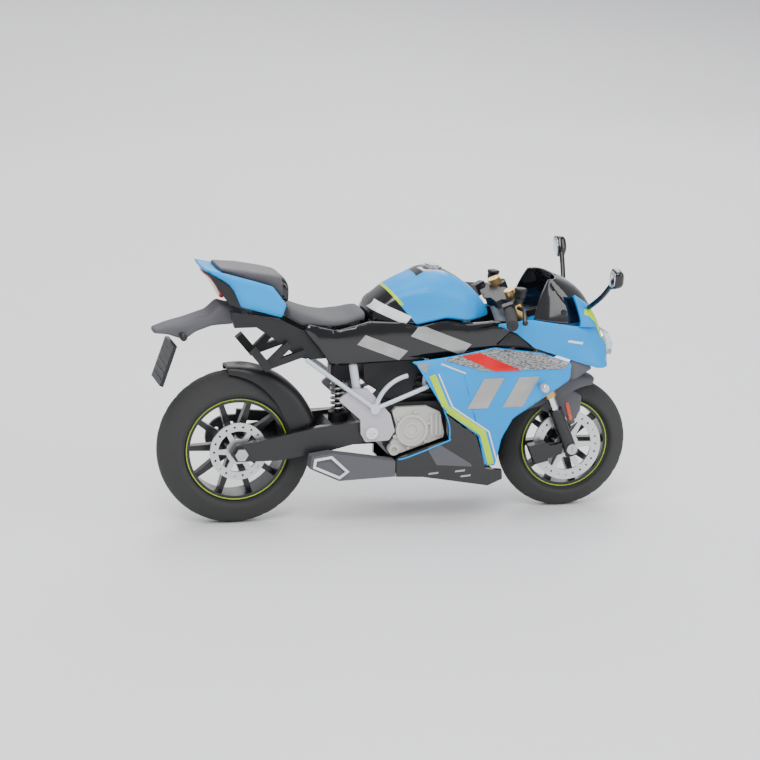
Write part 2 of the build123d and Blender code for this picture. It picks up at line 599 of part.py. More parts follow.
ring_outline = [(-27.8, 25.7), (-21.8, 20.0), (-25.1, 17.6), (-34.2, 21.8), (-33.7, 24.9)]
with BuildPart() as muffler_end_ring:
    with BuildSketch(side(-can_out)) as pentagon:
        with BuildLine():
            Polyline(*ring_outline, close=True)
        make_face()
        offset(amount=-0.9, mode=Mode.SUBTRACT)
    extrude(pentagon.sketch, amount=0.8)
muffler_end_ring.part.label = "muffler_end_ring"
export_step(muffler_end_ring.part, "parts/muffler_end_ring.step")

# --- bodywork -------------------------------------------------------------------------------
pan_in, pan_t = 14.2, 1.9
pan_out = pan_in + pan_t
post_x, post_low, post_r = 6.0, 15.4, 2.8
screw_r, screw_depth = 0.85, 5.5     # self-tapping hole for a display base's screw
stand_axis = Vector(-0.299, 0.954, 0).normalized()
stand_pivot = at(-1.5, pan_out + 2.2, 20.2)
stand_pin_r, stand_boss_half = 0.9, 1.2
with BuildPart() as belly_pan:
    slab([(-5.4, 22.9), (12.4, 28.5), (11.4, 37.6), (22.1, 29.2), (25.6, 18.2), (31.2, 17.6), (31.4, 14.5),
          (26.4, 12.4), (3.7, 16.5), (-5.4, 17.0)], pan_out, pan_in)
    mirror(about=Plane.XZ)
    slab([(-5.4, 17.0), (3.7, 16.5), (26.4, 12.4), (31.4, 14.5), (30.6, 15.8), (26.2, 13.7), (3.7, 17.5),
          (-5.4, 17.5)], pan_in, -pan_in)
    rod(at(post_x, 0, post_low), at(post_x, 0, 21.8), post_r)
    rod(at(post_x, 0, post_low), at(post_x, 0, post_low + screw_depth), screw_r, Mode.SUBTRACT)
    rod(stand_pivot - stand_axis * 3.2, stand_pivot + stand_axis * (stand_boss_half + 0.2), stand_pin_r)
    rod(stand_pivot + stand_axis * (stand_boss_half + 0.2),
        stand_pivot + stand_axis * (stand_boss_half + 0.8), stand_pin_r + 0.6)
belly_pan.part.label = "belly_pan"
export_step(belly_pan.part, "parts/belly_pan.step")

stand_reach = 18.5
with BuildPart() as side_stand:
    rod(stand_pivot - stand_axis * stand_boss_half, stand_pivot + stand_axis * stand_boss_half, 2.0)
    rod(stand_pivot - Vector(1.2, 0, 0), stand_pivot - Vector(stand_reach, 0, 0), 0.9)
    with Locations(stand_pivot - Vector(stand_reach, 0, 0)):
        Box(2.6, 3.2, 1.8)
    rod(stand_pivot - stand_axis * 2, stand_pivot + stand_axis * 2, stand_pin_r + running, Mode.SUBTRACT)
side_stand.part.label = "side_stand"
export_step(side_stand.part, "parts/side_stand.step")

fairing_out = fairing_in + fairing_t
fairing_outline = [(-0.9, 55.8), (5.0, 52.0), (10.2, 39.6), (22.6, 29.7), (26.2, 18.6), (30.8, 18.0),
                   (32.4, 34.0), (44.0 + nose, 41.2), (55.0 + nose, 46.9), (52.4 + nose, 51.0),
                   (55.0 + nose, 54.0), (28.0 + nose, 59.8), (12.0, 57.9)]
peg_x, peg_z = 17.0, 36.2
with BuildPart() as side_fairing_right:
    slab(fairing_outline, -fairing_in, -fairing_out)
    chamfer(side_fairing_right.faces().sort_by(Axis.Y)[0].edges(), length=0.8)
    drum(peg_x, peg_z, 1.0, -engine_half, -fairing_in)
side_fairing_right.part.label = "side_fairing_right"
export_step(side_fairing_right.part, "parts/side_fairing_right.step")

with BuildPart() as side_fairing_left:
    mirror(side_fairing_right.part, about=Plane.XZ)
side_fairing_left.part.label = "side_fairing_left"
export_step(side_fairing_left.part, "parts/side_fairing_left.step")

panel_out = panel_in + panel_t
panel_outline = [(-36.5, 68.4), (-25.8, 66.7), (-14.2, 68.1), (2.1, 66.7), (11.6, 68.7), (19.5, 67.1),
                 (28.2, 67.0), (34.0, 63.4), (28.4, 60.2), (12.0, 58.2), (-0.8, 56.2), (-27.7, 54.9),
                 (-32.0, 63.0)]
with BuildPart() as side_panel_right:
    slab(panel_outline, -panel_in, -panel_out)
    drum(-29.0, 61.0, 1.0, -rail_out, -panel_in)
side_panel_right.part.label = "side_panel_right"
export_step(side_panel_right.part, "parts/side_panel_right.step")

button_x, button_z, button_r = -8.0, 64.2, 2.0
with BuildPart() as side_panel_left:
    mirror(side_panel_right.part, about=Plane.XZ)
    drum(button_x, button_z, button_r + running, panel_out, panel_in, Mode.SUBTRACT)
side_panel_left.part.label = "side_panel_left"
export_step(side_panel_left.part, "parts/side_panel_left.step")

with BuildPart() as sound_button:
    drum(button_x, button_z, button_r, panel_out + 1.2, panel_in - 1.0)
    drum(button_x, button_z, button_r + 0.8, panel_in - 0.3, panel_in - 1.0)
    fillet(sound_button.faces().sort_by(Axis.Y)[-1].edges(), radius=0.4)
sound_button.part.label = "sound_button"
export_step(sound_button.part, "parts/sound_button.step")

tank_outline = [(-14.3, 72.9), (-7.2, 78.3), (2.1, 82.6), (5.6, 84.6), (13.3, 83.6), (18.0, 81.1),
                (22.8, 77.6), (25.5, 74.4), (28.4, 70.5), (28.6, 68.4), (19.5, 67.5), (11.6, 69.1),
                (2.1, 67.1), (-4.0, 67.9), (-13.6, 69.4)]
tank_shoulder = [(-11.0, 73.4), (-6.0, 76.2), (3.0, 79.2), (13.0, 79.8), (20.0, 77.0), (25.0, 73.0),
                 (28.4, 70.3), (28.6, 68.4), (19.5, 67.5), (11.6, 69.1), (2.1, 67.1), (-4.0, 67.9),
                 (-11.0, 69.0)]
box_x, box_long, box_half, box_low, box_high = -0.2, 19.0, 7.0, 65.0, 78.6
nose_cut_x, nose_half = 26.0 + nose, 4.8
with BuildPart() as fuel_tank:
    slab(tank_outline, 8.6, -8.6)
    slab(tank_shoulder, tank_half, -tank_half)
    slab([(box_x, 60.0), (box_x, box_high + 0.2), (box_x + box_long, box_high + 0.2),
          (box_x + box_long, 60.0)], box_half, -box_half, Mode.SUBTRACT)
    # The nose is narrowed at the front, so that the clamp clears it at full steering lock.
    for sign in (1, -1):
        slab([(nose_cut_x, 60.0), (nose_cut_x, 78.0), (nose_cut_x + 6.0, 78.0), (nose_cut_x + 6.0, 60.0)],
             max(sign * tank_half, sign * nose_half), min(sign * tank_half, sign * nose_half), Mode.SUBTRACT)
fuel_tank.part.label = "fuel_tank"
export_step(fuel_tank.part, "parts/fuel_tank.step")

cap_slope = Vector(1.0, 0, 7.7).normalized()
with BuildPart() as fuel_cap:
    rod(at(9.45, 0, 84.1), at(9.45, 0, 84.1) + cap_slope * 0.9, 3.4)
    rod(at(9.45, 0, 84.1) + cap_slope * 0.9, at(9.45, 0, 84.1) + cap_slope * 1.3, 2.4)
fuel_cap.part.label = "fuel_cap"
export_step(fuel_cap.part, "parts/fuel_cap.step")

with BuildPart() as rider_seat:
    slab([(-40.8, 74.2), (-34.1, 71.7), (-26.3, 70.0), (-15.2, 71.9), (-14.2, 69.5), (-14.6, 68.6),
          (-25.8, 67.1), (-36.2, 67.4), (-43.2, 70.9)], 11.5, -11.5)
    chamfer(rider_seat.edges().filter_by(Axis.Y, reverse=True).group_by(Axis.Y)[-1]
            .sort_by(Axis.Z)[-3:], length=0.8)
rider_seat.part.label = "rider_seat"
export_step(rider_seat.part, "parts/rider_seat.step")

with BuildPart() as pillion_seat:
    slab([(-64.2, 88.2), (-43.0, 84.7), (-40.9, 82.2), (-40.1, 75.2), (-43.4, 74.8), (-46.4, 80.0),
          (-62.6, 84.6)], rail_out - 0.4, -rail_out + 0.4)
pillion_seat.part.label = "pillion_seat"
export_step(pillion_seat.part, "parts/pillion_seat.step")

tail_half = 13.0
with BuildPart() as tail_cowl:
    slab([(-69.5, 87.9), (-60.1, 85.5), (-47.0, 81.9), (-42.5, 75.7), (-43.9, 71.4), (-55.3, 74.6),
          (-57.8, 74.8), (-61.1, 76.8), (-64.2, 82.4)], tail_half, rail_out)
    mirror(about=Plane.XZ)
    slab([(-69.5, 87.9), (-65.0, 86.7), (-65.6, 85.7), (-69.2, 86.6)], rail_out, -rail_out)
    slab([(-50.0, 75.0), (-50.0, 76.6), (-54.0, 77.6), (-54.0, 76.0)], rail_out, -rail_out)
tail_cowl.part.label = "tail_cowl"
export_step(tail_cowl.part, "parts/tail_cowl.step")

with BuildPart() as tail_light:
    slab([(-68.8, 86.3), (-63.7, 82.0), (-61.1, 77.2), (-60.1, 77.4), (-62.6, 82.4), (-66.4, 85.3)],
         rail_out, -rail_out)
tail_light.part.label = "tail_light"
export_step(tail_light.part, "parts/tail_light.step")

holder_half = 4.6
with BuildPart() as plate_holder:
    slab([(-58.9, 69.4), (-59.9, 72.8), (-62.2, 75.2), (-65.3, 72.3), (-71.0, 70.2), (plate_tail_x, 66.1),
          (-84.5, 64.3), (-78.5, 62.3), (-74.6, 62.7), (-71.1, 65.5), (-64.0, 67.3), (-59.4, 67.4)],
         holder_half, -holder_half)
plate_holder.part.label = "plate_holder"
export_step(plate_holder.part, "parts/plate_holder.step")

plate_low = 2 * rear_tyre_r - 3.2
with BuildPart() as number_plate:
    slab([(-77.6, 62.2), (-82.2, plate_low), (-83.4, plate_low + 0.4), (-78.8, 62.2)], 7.8, -7.8)
number_plate.part.label = "number_plate"
export_step(number_plate.part, "parts/number_plate.step")

with BuildPart() as turn_signals:
    drum(43.5 + nose, 46.6, 1.5, -fairing_out, -fairing_out - 6.4)
    drum(-75.8, 65.4, 1.2, -holder_half, -holder_half - 6.0)
    fillet(turn_signals.edges().filter_by(GeomType.CIRCLE).group_by(Axis.Y)[0], radius=0.8)
    mirror(about=Plane.XZ)
turn_signals.part.label = "turn_signals"
export_step(turn_signals.part, "parts/turn_signals.step")

cowl_out = cowl_in + cowl_t
cowl_outline = [(28.8, 67.4), (39.6, 68.6), (56.0, 65.3), (57.9, 66.4), (55.3, 76.0), (61.8, 72.8),
                (65.2, 68.9), (67.6, 62.9), (71.0, 57.5), (70.2, 51.6), (64.0, 51.0), (56.5, 53.6),
                (41.5, 58.9), (35.1, 64.1)]
lens_half, lens_low, lens_high = 8.0, 54.0, 61.5
with BuildPart() as front_cowl:
    slab([(x + nose, z) for x, z in cowl_outline], cowl_out, cowl_in)
    slab([(50.0 + nose, 58.0), (50.0 + nose, 52.0), (44.0 + nose, 54.0), (43.0 + nose, 60.0)],
         cowl_out, cowl_in)
    mirror(about=Plane.XZ)
    slab([(65.6 + nose, 68.0), (67.0 + nose, 68.0), (71.6 + nose, 57.5), (70.6 + nose, 51.2),
          (66.0 + nose, 50.9), (66.0 + nose, 52.4), (68.9 + nose, 52.8), (69.7 + nose, 57.5)],
         cowl_in, -cowl_in)
    slab([(60.0 + nose, lens_low), (75.0 + nose, lens_low), (75.0 + nose, lens_high),
          (60.0 + nose, lens_high)], lens_half, -lens_half, Mode.SUBTRACT)
front_cowl.part.label = "front_cowl"
export_step(front_cowl.part, "parts/front_cowl.step")

with BuildPart() as headlight_lens:
    slab([(69.2 + nose, lens_low), (71.1 + nose, lens_low), (71.6 + nose, 57.5), (69.9 + nose, lens_high),
          (68.1 + nose, lens_high), (69.7 + nose, 57.5)], lens_half, -lens_half)
headlight_lens.part.label = "headlight_lens"
export_step(headlight_lens.part, "parts/headlight_lens.step")

with BuildPart() as headlight_leds:
    slab([(62.6 + nose, 56.5), (62.6 + nose, 58.5), (63.4 + nose, 58.5), (63.4 + nose, 56.5)],
         cowl_in, -cowl_in)
    for led_y in (4.0, -4.0):
        rod(at(63.4 + nose, led_y, 57.5), at(67.4 + nose, led_y, 57.5), 1.5)
        with Locations(at(67.4 + nose, led_y, 57.5)):
            Sphere(1.5)
headlight_leds.part.label = "headlight_leds"
export_step(headlight_leds.part, "parts/headlight_leds.step")

screen_t = 1.2
with BuildPart() as windscreen:
    slab([(67.0 + nose, 68.2), (60.7 + nose, 77.8), (46.6 + nose, 81.7), (46.3 + nose, 80.5),
          (59.9 + nose, 76.7), (65.4 + nose, 68.2)], cowl_in, -cowl_in)
    for outer in (cowl_in, -cowl_in + screen_t):
        slab([(67.0 + nose, 68.2), (60.7 + nose, 77.8), (46.6 + nose, 81.7), (42.5 + nose, 70.2),
              (56.2 + nose, 67.0)], outer, outer - screen_t)
windscreen.part.label = "windscreen"
export_step(windscreen.part, "parts/windscreen.step")

with BuildPart() as instrument_panel:
    slab([(49.4 + nose, 69.8), (54.0 + nose, 76.0), (55.6 + nose, 75.0), (51.0 + nose, 68.6)], 6.0, -6.0)
    slab([(37.0 + nose, 67.2), (52.0 + nose, 70.6), (52.0 + nose, 68.6), (37.0 + nose, 64.6)], 1.4, -1.4)
    drum(52.4 + nose, 70.0, 0.9, cowl_in - screen_t, -cowl_in + screen_t)
    leg(-trail_offset, 0, head_low - 2, head_high + 2, head_r, Mode.SUBTRACT)
instrument_panel.part.label = "instrument_panel"
export_step(instrument_panel.part, "parts/instrument_panel.step")

with BuildPart() as mirrors:
    foot = at(59.6 + nose, -cowl_out - 0.6, 71.0)
    drum(59.6 + nose, 71.0, 1.4, -cowl_out, -cowl_out - 1.2)
    rod(foot, at(62.4 + nose, -27.0, 80.6), 0.75)
    with BuildSketch(Plane(origin=at(61.8 + nose, -29.4, 83.6), x_dir=(0, -1, 0), z_dir=(1, 0, 0.1))):
        with BuildLine():
            Polyline((-3.6, -3.0), (-3.9, 2.0), (-1.0, 3.8), (3.4, 3.0), (4.1, 0.6), (1.6, -3.6), close=True)
        make_face()
    extrude(amount=2.6, taper=22)
    mirror(about=Plane.XZ)
mirrors.part.label = "mirrors"
export_step(mirrors.part, "parts/mirrors.step")

def strut(start, end, half):
    """The outline of a flat arm of even width between two stations."""
    along = Vector(end[0] - start[0], 0, end[1] - start[1]).normalized()
    across, up = -along.Z * half, along.X * half
    return [(start[0] + across, start[1] + up), (start[0] - across, start[1] - up),
            (end[0] - across, end[1] - up), (end[0] + across, end[1] + up)]


with BuildPart() as pillion_pegs:
    apex, strut_t, peg_t = (-48.8, 55.2), 2.0, 3.2
    slab(strut(apex, (-41.2, 62.6), 1.2), rail_out + strut_t, rail_out)
    slab(strut(apex, (-36.0, 59.4), 1.1), rail_out + strut_t, rail_out)
    slab(strut((-48.2, 54.6), (-53.3, 60.8), 1.4), rail_out + 0.2 + peg_t, rail_out + 0.2)
    mirror(about=Plane.XZ)
pillion_pegs.part.label = "pillion_pegs"
export_step(pillion_pegs.part, "parts/pillion_pegs.step")

# --- electronics ----------------------------------------------------------------------------
cell_r, cell_t, cells = 5.8, 5.4, 3          # LR44 button cells
cell_x0, cell_z = box_x + 1.4, box_low + 0.9 + cell_r
with BuildPart() as battery_box:
    slab([(box_x, box_low), (box_x, box_high), (box_x + box_long, box_high), (box_x + box_long, box_low)],
         box_half, -box_half)
    rod(at(box_x + 1.2, 0, cell_z), at(box_x + box_long - 1.2, 0, cell_z), cell_r + 0.1, Mode.SUBTRACT)
battery_box.part.label = "battery_box"
export_step(battery_box.part, "parts/battery_box.step")

with BuildPart() as button_cells:
    for cell in range(cells):
        start = cell_x0 + cell * (cell_t + 0.04)
        rod(at(start, 0, cell_z), at(start + cell_t - 0.6, 0, cell_z), cell_r)
        rod(at(start + cell_t - 0.6, 0, cell_z), at(start + cell_t, 0, cell_z), cell_r - 1.2)
button_cells.part.label = "button_cells"
export_step(button_cells.part, "parts/button_cells.step")

board_t, board_half = 1.0, 8.4
with BuildPart() as circuit_board:
    slab([(-10.0, box_low), (24.0, box_low), (24.0, box_low - board_t), (-10.0, box_low - board_t)],
         board_half, -board_half)
    slab([(-9.0, box_low), (-9.0, box_low + 2.0), (-3.0, box_low + 2.0), (-3.0, box_low)], 4.0, -4.0)
    slab([(-10.0, box_low - board_t), (-6.0, box_low - board_t), (-6.0, box_low - board_t - 2.4),
          (-10.0, box_low - board_t - 2.4)], board_half, board_half - 3.0)
circuit_board.part.label = "circuit_board"
export_step(circuit_board.part, "parts/circuit_board.step")

speaker_x, speaker_r = 9.0, 7.6
with BuildPart() as speaker:
    cone_top = box_low - board_t
    rod(at(speaker_x, 0, cone_top - 1.4), at(speaker_x, 0, cone_top), speaker_r)
    rod(at(speaker_x, 0, cone_top - 3.6), at(speaker_x, 0, cone_top - 1.4), 4.4)
speaker.part.label = "speaker"
export_step(speaker.part, "parts/speaker.step")

screw_spots = [(peg_x, peg_z, fairing_out), (46.0 + nose, 51.0, fairing_out), (-29.0, 61.0, panel_out),
               (16.0, 62.6, panel_out)]
with BuildPart() as cover_screws:
    for x, z, face in screw_spots:
        drum(x, z, 1.0, face + 0.5, face)
        with Locations(Plane(origin=at(x, face + 0.5, z), z_dir=(0, 1, 0))):
            Box(1.3, 0.3, 0.6, mode=Mode.SUBTRACT)
            Box(0.3, 1.3, 0.6, mode=Mode.SUBTRACT)
cover_screws.part.label = "cover_screws"
export_step(cover_screws.part, "parts/cover_screws.step")
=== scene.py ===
"""Looks of a 1:12 die-cast toy sport motorcycle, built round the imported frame.

Stations are millimetres: x forward from the middle of the wheelbase, y to the rider's left and z up from
the ground. Each class below is one sub-assembly of the toy; main() builds them in order.
"""
import logging
import math
from dataclasses import dataclass
from enum import Enum
from typing import Callable, Sequence

import bmesh
import bpy
from mathutils import Matrix, Vector
from mathutils.bvhtree import BVHTree


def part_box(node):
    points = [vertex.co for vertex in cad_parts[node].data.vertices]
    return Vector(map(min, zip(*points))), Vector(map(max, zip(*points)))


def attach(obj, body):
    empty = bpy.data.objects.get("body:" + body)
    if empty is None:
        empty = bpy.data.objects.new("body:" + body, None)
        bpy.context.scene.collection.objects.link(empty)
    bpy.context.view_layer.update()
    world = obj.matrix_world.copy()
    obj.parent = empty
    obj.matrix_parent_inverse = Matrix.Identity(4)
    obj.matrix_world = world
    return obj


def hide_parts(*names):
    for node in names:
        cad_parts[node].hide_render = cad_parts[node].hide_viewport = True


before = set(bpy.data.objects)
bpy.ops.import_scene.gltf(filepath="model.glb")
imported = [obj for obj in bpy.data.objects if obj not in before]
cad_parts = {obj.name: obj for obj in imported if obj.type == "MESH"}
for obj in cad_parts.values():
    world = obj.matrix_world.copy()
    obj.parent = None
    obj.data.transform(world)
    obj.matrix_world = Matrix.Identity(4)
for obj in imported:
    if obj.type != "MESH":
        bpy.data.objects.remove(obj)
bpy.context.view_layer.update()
LOG = logging.getLogger("toy_motorcycle")

MM = 0.001
Point = tuple[float, float]
Width = Callable[[float, float], float]


def centre(node: str) -> Vector:
    """The middle of a CAD node's box, in metres."""
    low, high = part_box(node)
    return (Vector(low) + Vector(high)) / 2


FRONT_AXLE = Vector((centre("front_tyre").x, 0, centre("front_tyre").z))
REAR_AXLE = Vector((centre("rear_tyre").x, 0, centre("rear_tyre").z))
MID = (FRONT_AXLE.x + REAR_AXLE.x) / 2
FRONT_R = FRONT_AXLE.z / MM
REAR_R = REAR_AXLE.z / MM
HALF_BASE = (FRONT_AXLE.x - REAR_AXLE.x) / 2 / MM
RAKE = math.radians(22.5)


def at(x: float, y: float, z: float) -> Vector:
    """A station in millimetres as a point in metres."""
    return Vector((MID + x * MM, y * MM, z * MM))


def on_fork(ahead: float, y: float, up: float) -> Vector:
    """A point measured from the front axle across and along the fork legs, in metres."""
    x = HALF_BASE + ahead * math.cos(RAKE) - up * math.sin(RAKE)
    return at(x, y, FRONT_R + ahead * math.sin(RAKE) + up * math.cos(RAKE))


# --- materials --------------------------------------------------------------------------------


class Effect(Enum):
    """The shared surface effects, each one node group."""

    GRAIN = "grain"
    SMUDGE = "smudge"
    BRUSH = "brush"
    HATCH = "hatch"


class EffectGroups:
    """Builds each shared effect once and hands out its node group."""

    def __init__(self) -> None:
        """Starts with no groups."""
        self._made: dict[Effect, bpy.types.NodeTree] = {}

    def get(self, effect: Effect) -> bpy.types.NodeTree:
        """The node group of one effect.

        Args:
            effect: which effect.

        Returns:
            The group, with inputs Scale and Amount and outputs Mask and Height.
        """
        if effect not in self._made:
            self._made[effect] = self._build(effect)
        return self._made[effect]

    def _build(self, effect: Effect) -> bpy.types.NodeTree:
        """Makes the group of one effect.

        Args:
            effect: which effect.

        Returns:
            The new group.
        """
        tree = bpy.data.node_groups.new(effect.value, "ShaderNodeTree")
        for name in ("Scale", "Amount"):
            tree.interface.new_socket(name, in_out="INPUT", socket_type="NodeSocketFloat")
        for name in ("Mask", "Height"):
            tree.interface.new_socket(name, in_out="OUTPUT", socket_type="NodeSocketFloat")
        nodes, links = tree.nodes, tree.links
        inlet, outlet = nodes.new("NodeGroupInput"), nodes.new("NodeGroupOutput")
        place = nodes.new("ShaderNodeTexCoord").outputs["Object"]
        pattern = {Effect.GRAIN: self._grain, Effect.SMUDGE: self._smudge,
                   Effect.BRUSH: self._brush, Effect.HATCH: self._hatch}[effect]
        value = pattern(tree, place, inlet.outputs["Scale"])
        scaled = nodes.new("ShaderNodeMath")
        scaled.operation = "MULTIPLY"
        links.new(value, scaled.inputs[0])
        links.new(inlet.outputs["Amount"], scaled.inputs[1])
        links.new(value, outlet.inputs["Mask"])
        links.new(scaled.outputs[0], outlet.inputs["Height"])
        return tree

    @staticmethod
    def _noise(tree: bpy.types.NodeTree, place: bpy.types.NodeSocket, scale: bpy.types.NodeSocket,
               detail: float) -> bpy.types.NodeSocket:
        """A noise texture's value over the object."""
        noise = tree.nodes.new("ShaderNodeTexNoise")
        noise.inputs["Detail"].default_value = detail
        tree.links.new(place, noise.inputs["Vector"])
        tree.links.new(scale, noise.inputs["Scale"])
        return noise.outputs["Fac"]

    def _grain(self, tree: bpy.types.NodeTree, place: bpy.types.NodeSocket,
               scale: bpy.types.NodeSocket) -> bpy.types.NodeSocket:
        """Fine pebbled moulding grain."""
        cells = tree.nodes.new("ShaderNodeTexVoronoi")
        tree.links.new(place, cells.inputs["Vector"])
        tree.links.new(scale, cells.inputs["Scale"])
        return cells.outputs["Distance"]

    def _smudge(self, tree: bpy.types.NodeTree, place: bpy.types.NodeSocket,
                scale: bpy.types.NodeSocket) -> bpy.types.NodeSocket:
        """Broad soft variation, as of handling and paint flow."""
        ramp = tree.nodes.new("ShaderNodeMapRange")
        ramp.interpolation_type = "SMOOTHSTEP"
        ramp.inputs["From Min"].default_value = 0.35
        ramp.inputs["From Max"].default_value = 0.7
        tree.links.new(self._noise(tree, place, scale, 4.0), ramp.inputs["Value"])
        return ramp.outputs["Result"]

    def _brush(self, tree: bpy.types.NodeTree, place: bpy.types.NodeSocket,
               scale: bpy.types.NodeSocket) -> bpy.types.NodeSocket:
        """Fine scratches drawn out along one direction."""
        stretch = tree.nodes.new("ShaderNodeMapping")
        stretch.inputs["Scale"].default_value = (1.0, 1.0, 14.0)
        tree.links.new(place, stretch.inputs["Vector"])
        return self._noise(tree, stretch.outputs["Vector"], scale, 3.0)

    def _hatch(self, tree: bpy.types.NodeTree, place: bpy.types.NodeSocket,
               scale: bpy.types.NodeSocket) -> bpy.types.NodeSocket:
        """Two crossed families of broken fine lines."""
        nodes, links = tree.nodes, tree.links
        marks = []
        for turn in (0.9, -0.35):
            turned = nodes.new("ShaderNodeMapping")
            turned.inputs["Rotation"].default_value = (0.0, turn, 0.0)
            turned.inputs["Scale"].default_value = (1.0, 0.4, 6.0)
            links.new(place, turned.inputs["Vector"])
            marks.append(self._noise(tree, turned.outputs["Vector"], scale, 2.0))
        blend = nodes.new("ShaderNodeMath")
        blend.operation = "MAXIMUM"
        links.new(marks[0], blend.inputs[0])
        links.new(marks[1], blend.inputs[1])
        ramp = nodes.new("ShaderNodeMapRange")
        ramp.inputs["From Min"].default_value = 0.52
        ramp.inputs["From Max"].default_value = 0.6
        links.new(blend.outputs[0], ramp.inputs["Value"])
        return ramp.outputs["Result"]


GROUPS = EffectGroups()


@dataclass(frozen=True)
class Finish:
    """One finish of the toy, made into a procedural material.

    Args:
        name: the material's name.
        colour: the main colour, linear RGB.
        accent: the colour that the effect mixes in; the main colour, darkened, when left out.
        rough: the roughness.
        rough_spread: how much the effect adds to the roughness.
        metal: the metallic value.
        coat: the clear coat's weight.
        shine: the specular level.
        effect: the shared effect that varies the surface.
        scale: the effect's scale.
        relief: the effect's bump height, millimetres.
        glow: the emission strength.
        clear: the transmission weight.
    """

    name: str
    colour: tuple[float, float, float]
    accent: tuple[float, float, float] | None = None
    rough: float = 0.4
    rough_spread: float = 0.08
    metal: float = 0.0
    coat: float = 0.0
    shine: float = 0.5
    effect: Effect = Effect.SMUDGE
    scale: float = 60.0
    relief: float = 0.0
    glow: float = 0.0
    clear: float = 0.0

    def make(self) -> bpy.types.Material:
        """The finish's material, built on its first use."""
        known = bpy.data.materials.get(self.name)
        if known:
            return known
        material = bpy.data.materials.new(self.name)
        material.use_nodes = True
        tree = material.node_tree
        shader = tree.nodes["Principled BSDF"]
        effect = self._place(tree, self.effect, self.scale, self.relief * MM)
        tint = tree.nodes.new("ShaderNodeMix")
        tint.data_type = "RGBA"
        tint.inputs["A"].default_value = (*self.colour, 1.0)
        other = self.accent or tuple(0.8 * part for part in self.colour)
        tint.inputs["B"].default_value = (*other, 1.0)
        tree.links.new(effect.outputs["Mask"], tint.inputs["Factor"])
        tree.links.new(tint.outputs["Result"], shader.inputs["Base Color"])
        rough = tree.nodes.new("ShaderNodeMath")
        rough.operation = "MULTIPLY_ADD"
        tree.links.new(effect.outputs["Mask"], rough.inputs[0])
        rough.inputs[1].default_value = self.rough_spread
        rough.inputs[2].default_value = self.rough
        tree.links.new(rough.outputs[0], shader.inputs["Roughness"])
        if self.relief:
            bump = tree.nodes.new("ShaderNodeBump")
            bump.inputs["Distance"].default_value = 1.0
            bump.inputs["Strength"].default_value = 0.6
            tree.links.new(effect.outputs["Height"], bump.inputs["Height"])
            tree.links.new(bump.outputs["Normal"], shader.inputs["Normal"])
        shader.inputs["Metallic"].default_value = self.metal
        shader.inputs["Coat Weight"].default_value = self.coat
        shader.inputs["Specular IOR Level"].default_value = self.shine
        shader.inputs["Coat Roughness"].default_value = 0.04
        shader.inputs["Transmission Weight"].default_value = self.clear
        if self.glow:
            tree.links.new(tint.outputs["Result"], shader.inputs["Emission Color"])
            shader.inputs["Emission Strength"].default_value = self.glow
        material.diffuse_color = (*self.colour, 1.0)
        return material

    @staticmethod
    def _place(tree: bpy.types.NodeTree, effect: Effect, scale: float, amount: float) -> bpy.types.Node:
        """Puts a shared effect into a material with this finish's own values.

        Args:
            tree: the material's node tree.
            effect: which effect.
            scale: its scale.
            amount: its height, metres.

        Returns:
            The group node.
        """
        node = tree.nodes.new("ShaderNodeGroup")
        node.node_tree = GROUPS.get(effect)
        node.inputs["Scale"].default_value = scale
        node.inputs["Amount"].default_value = amount
        return node


BLUE = Finish("blue_paint", (0.0, 0.29, 0.74), (0.0, 0.33, 0.82), 0.34, 0.03, coat=0.06, shine=0.16,
              scale=40)
GLOSS_BLACK = Finish("gloss_black", (0.0035, 0.0035, 0.0045), (0.006, 0.006, 0.007), 0.12, 0.05, coat=0.35,
                     scale=70)
SATIN_BLACK = Finish("satin_black", (0.006, 0.006, 0.007), (0.01, 0.01, 0.011), 0.42, 0.12,
                     effect=Effect.GRAIN, scale=2600, relief=0.012)
DARK_GREY = Finish("dark_grey", (0.032, 0.031, 0.037), (0.045, 0.044, 0.05), 0.4, 0.12, effect=Effect.GRAIN,
                   scale=2200, relief=0.012)
FRAME_SILVER = Finish("frame_silver", (0.36, 0.44, 0.5), (0.42, 0.49, 0.54), 0.34, 0.1, metal=0.25,
                      coat=0.3, scale=120)
PLATE_GREY = Finish("plate_grey", (0.25, 0.235, 0.27), (0.3, 0.285, 0.32), 0.42, 0.12, metal=0.3,
                    effect=Effect.GRAIN, scale=1800, relief=0.01)
ENGINE_SILVER = Finish("engine_silver", (0.3, 0.3, 0.285), (0.2, 0.2, 0.19), 0.42, 0.16, metal=0.45,
                       effect=Effect.SMUDGE, scale=260, relief=0.02)
CHROME = Finish("chrome", (0.82, 0.83, 0.85), (0.74, 0.75, 0.78), 0.08, 0.06, metal=1.0, scale=90)
STEEL = Finish("bare_steel", (0.6, 0.6, 0.6), (0.48, 0.48, 0.5), 0.26, 0.14, metal=1.0, effect=Effect.BRUSH,
               scale=700, relief=0.006)
DISC_STEEL = Finish("disc_steel", (0.72, 0.73, 0.73), (0.6, 0.6, 0.6), 0.28, 0.16, metal=0.85,
                    effect=Effect.BRUSH, scale=500, relief=0.006)
GOLD = Finish("gold_anodised", (0.66, 0.42, 0.16), (0.56, 0.34, 0.12), 0.26, 0.1, metal=0.9,
              effect=Effect.BRUSH, scale=420, relief=0.004)
CAST_BLACK = Finish("cast_black", (0.005, 0.005, 0.006), (0.01, 0.01, 0.011), 0.3, 0.1, coat=0.2,
                    effect=Effect.GRAIN, scale=1500, relief=0.008)
RUBBER = Finish("tyre_rubber", (0.008, 0.008, 0.0095), (0.013, 0.013, 0.015), 0.62, 0.14,
                effect=Effect.GRAIN, scale=1900, relief=0.02)
SEAT = Finish("seat_cover", (0.03, 0.028, 0.034), (0.045, 0.043, 0.05), 0.5, 0.14, effect=Effect.GRAIN,
              scale=1700, relief=0.03)
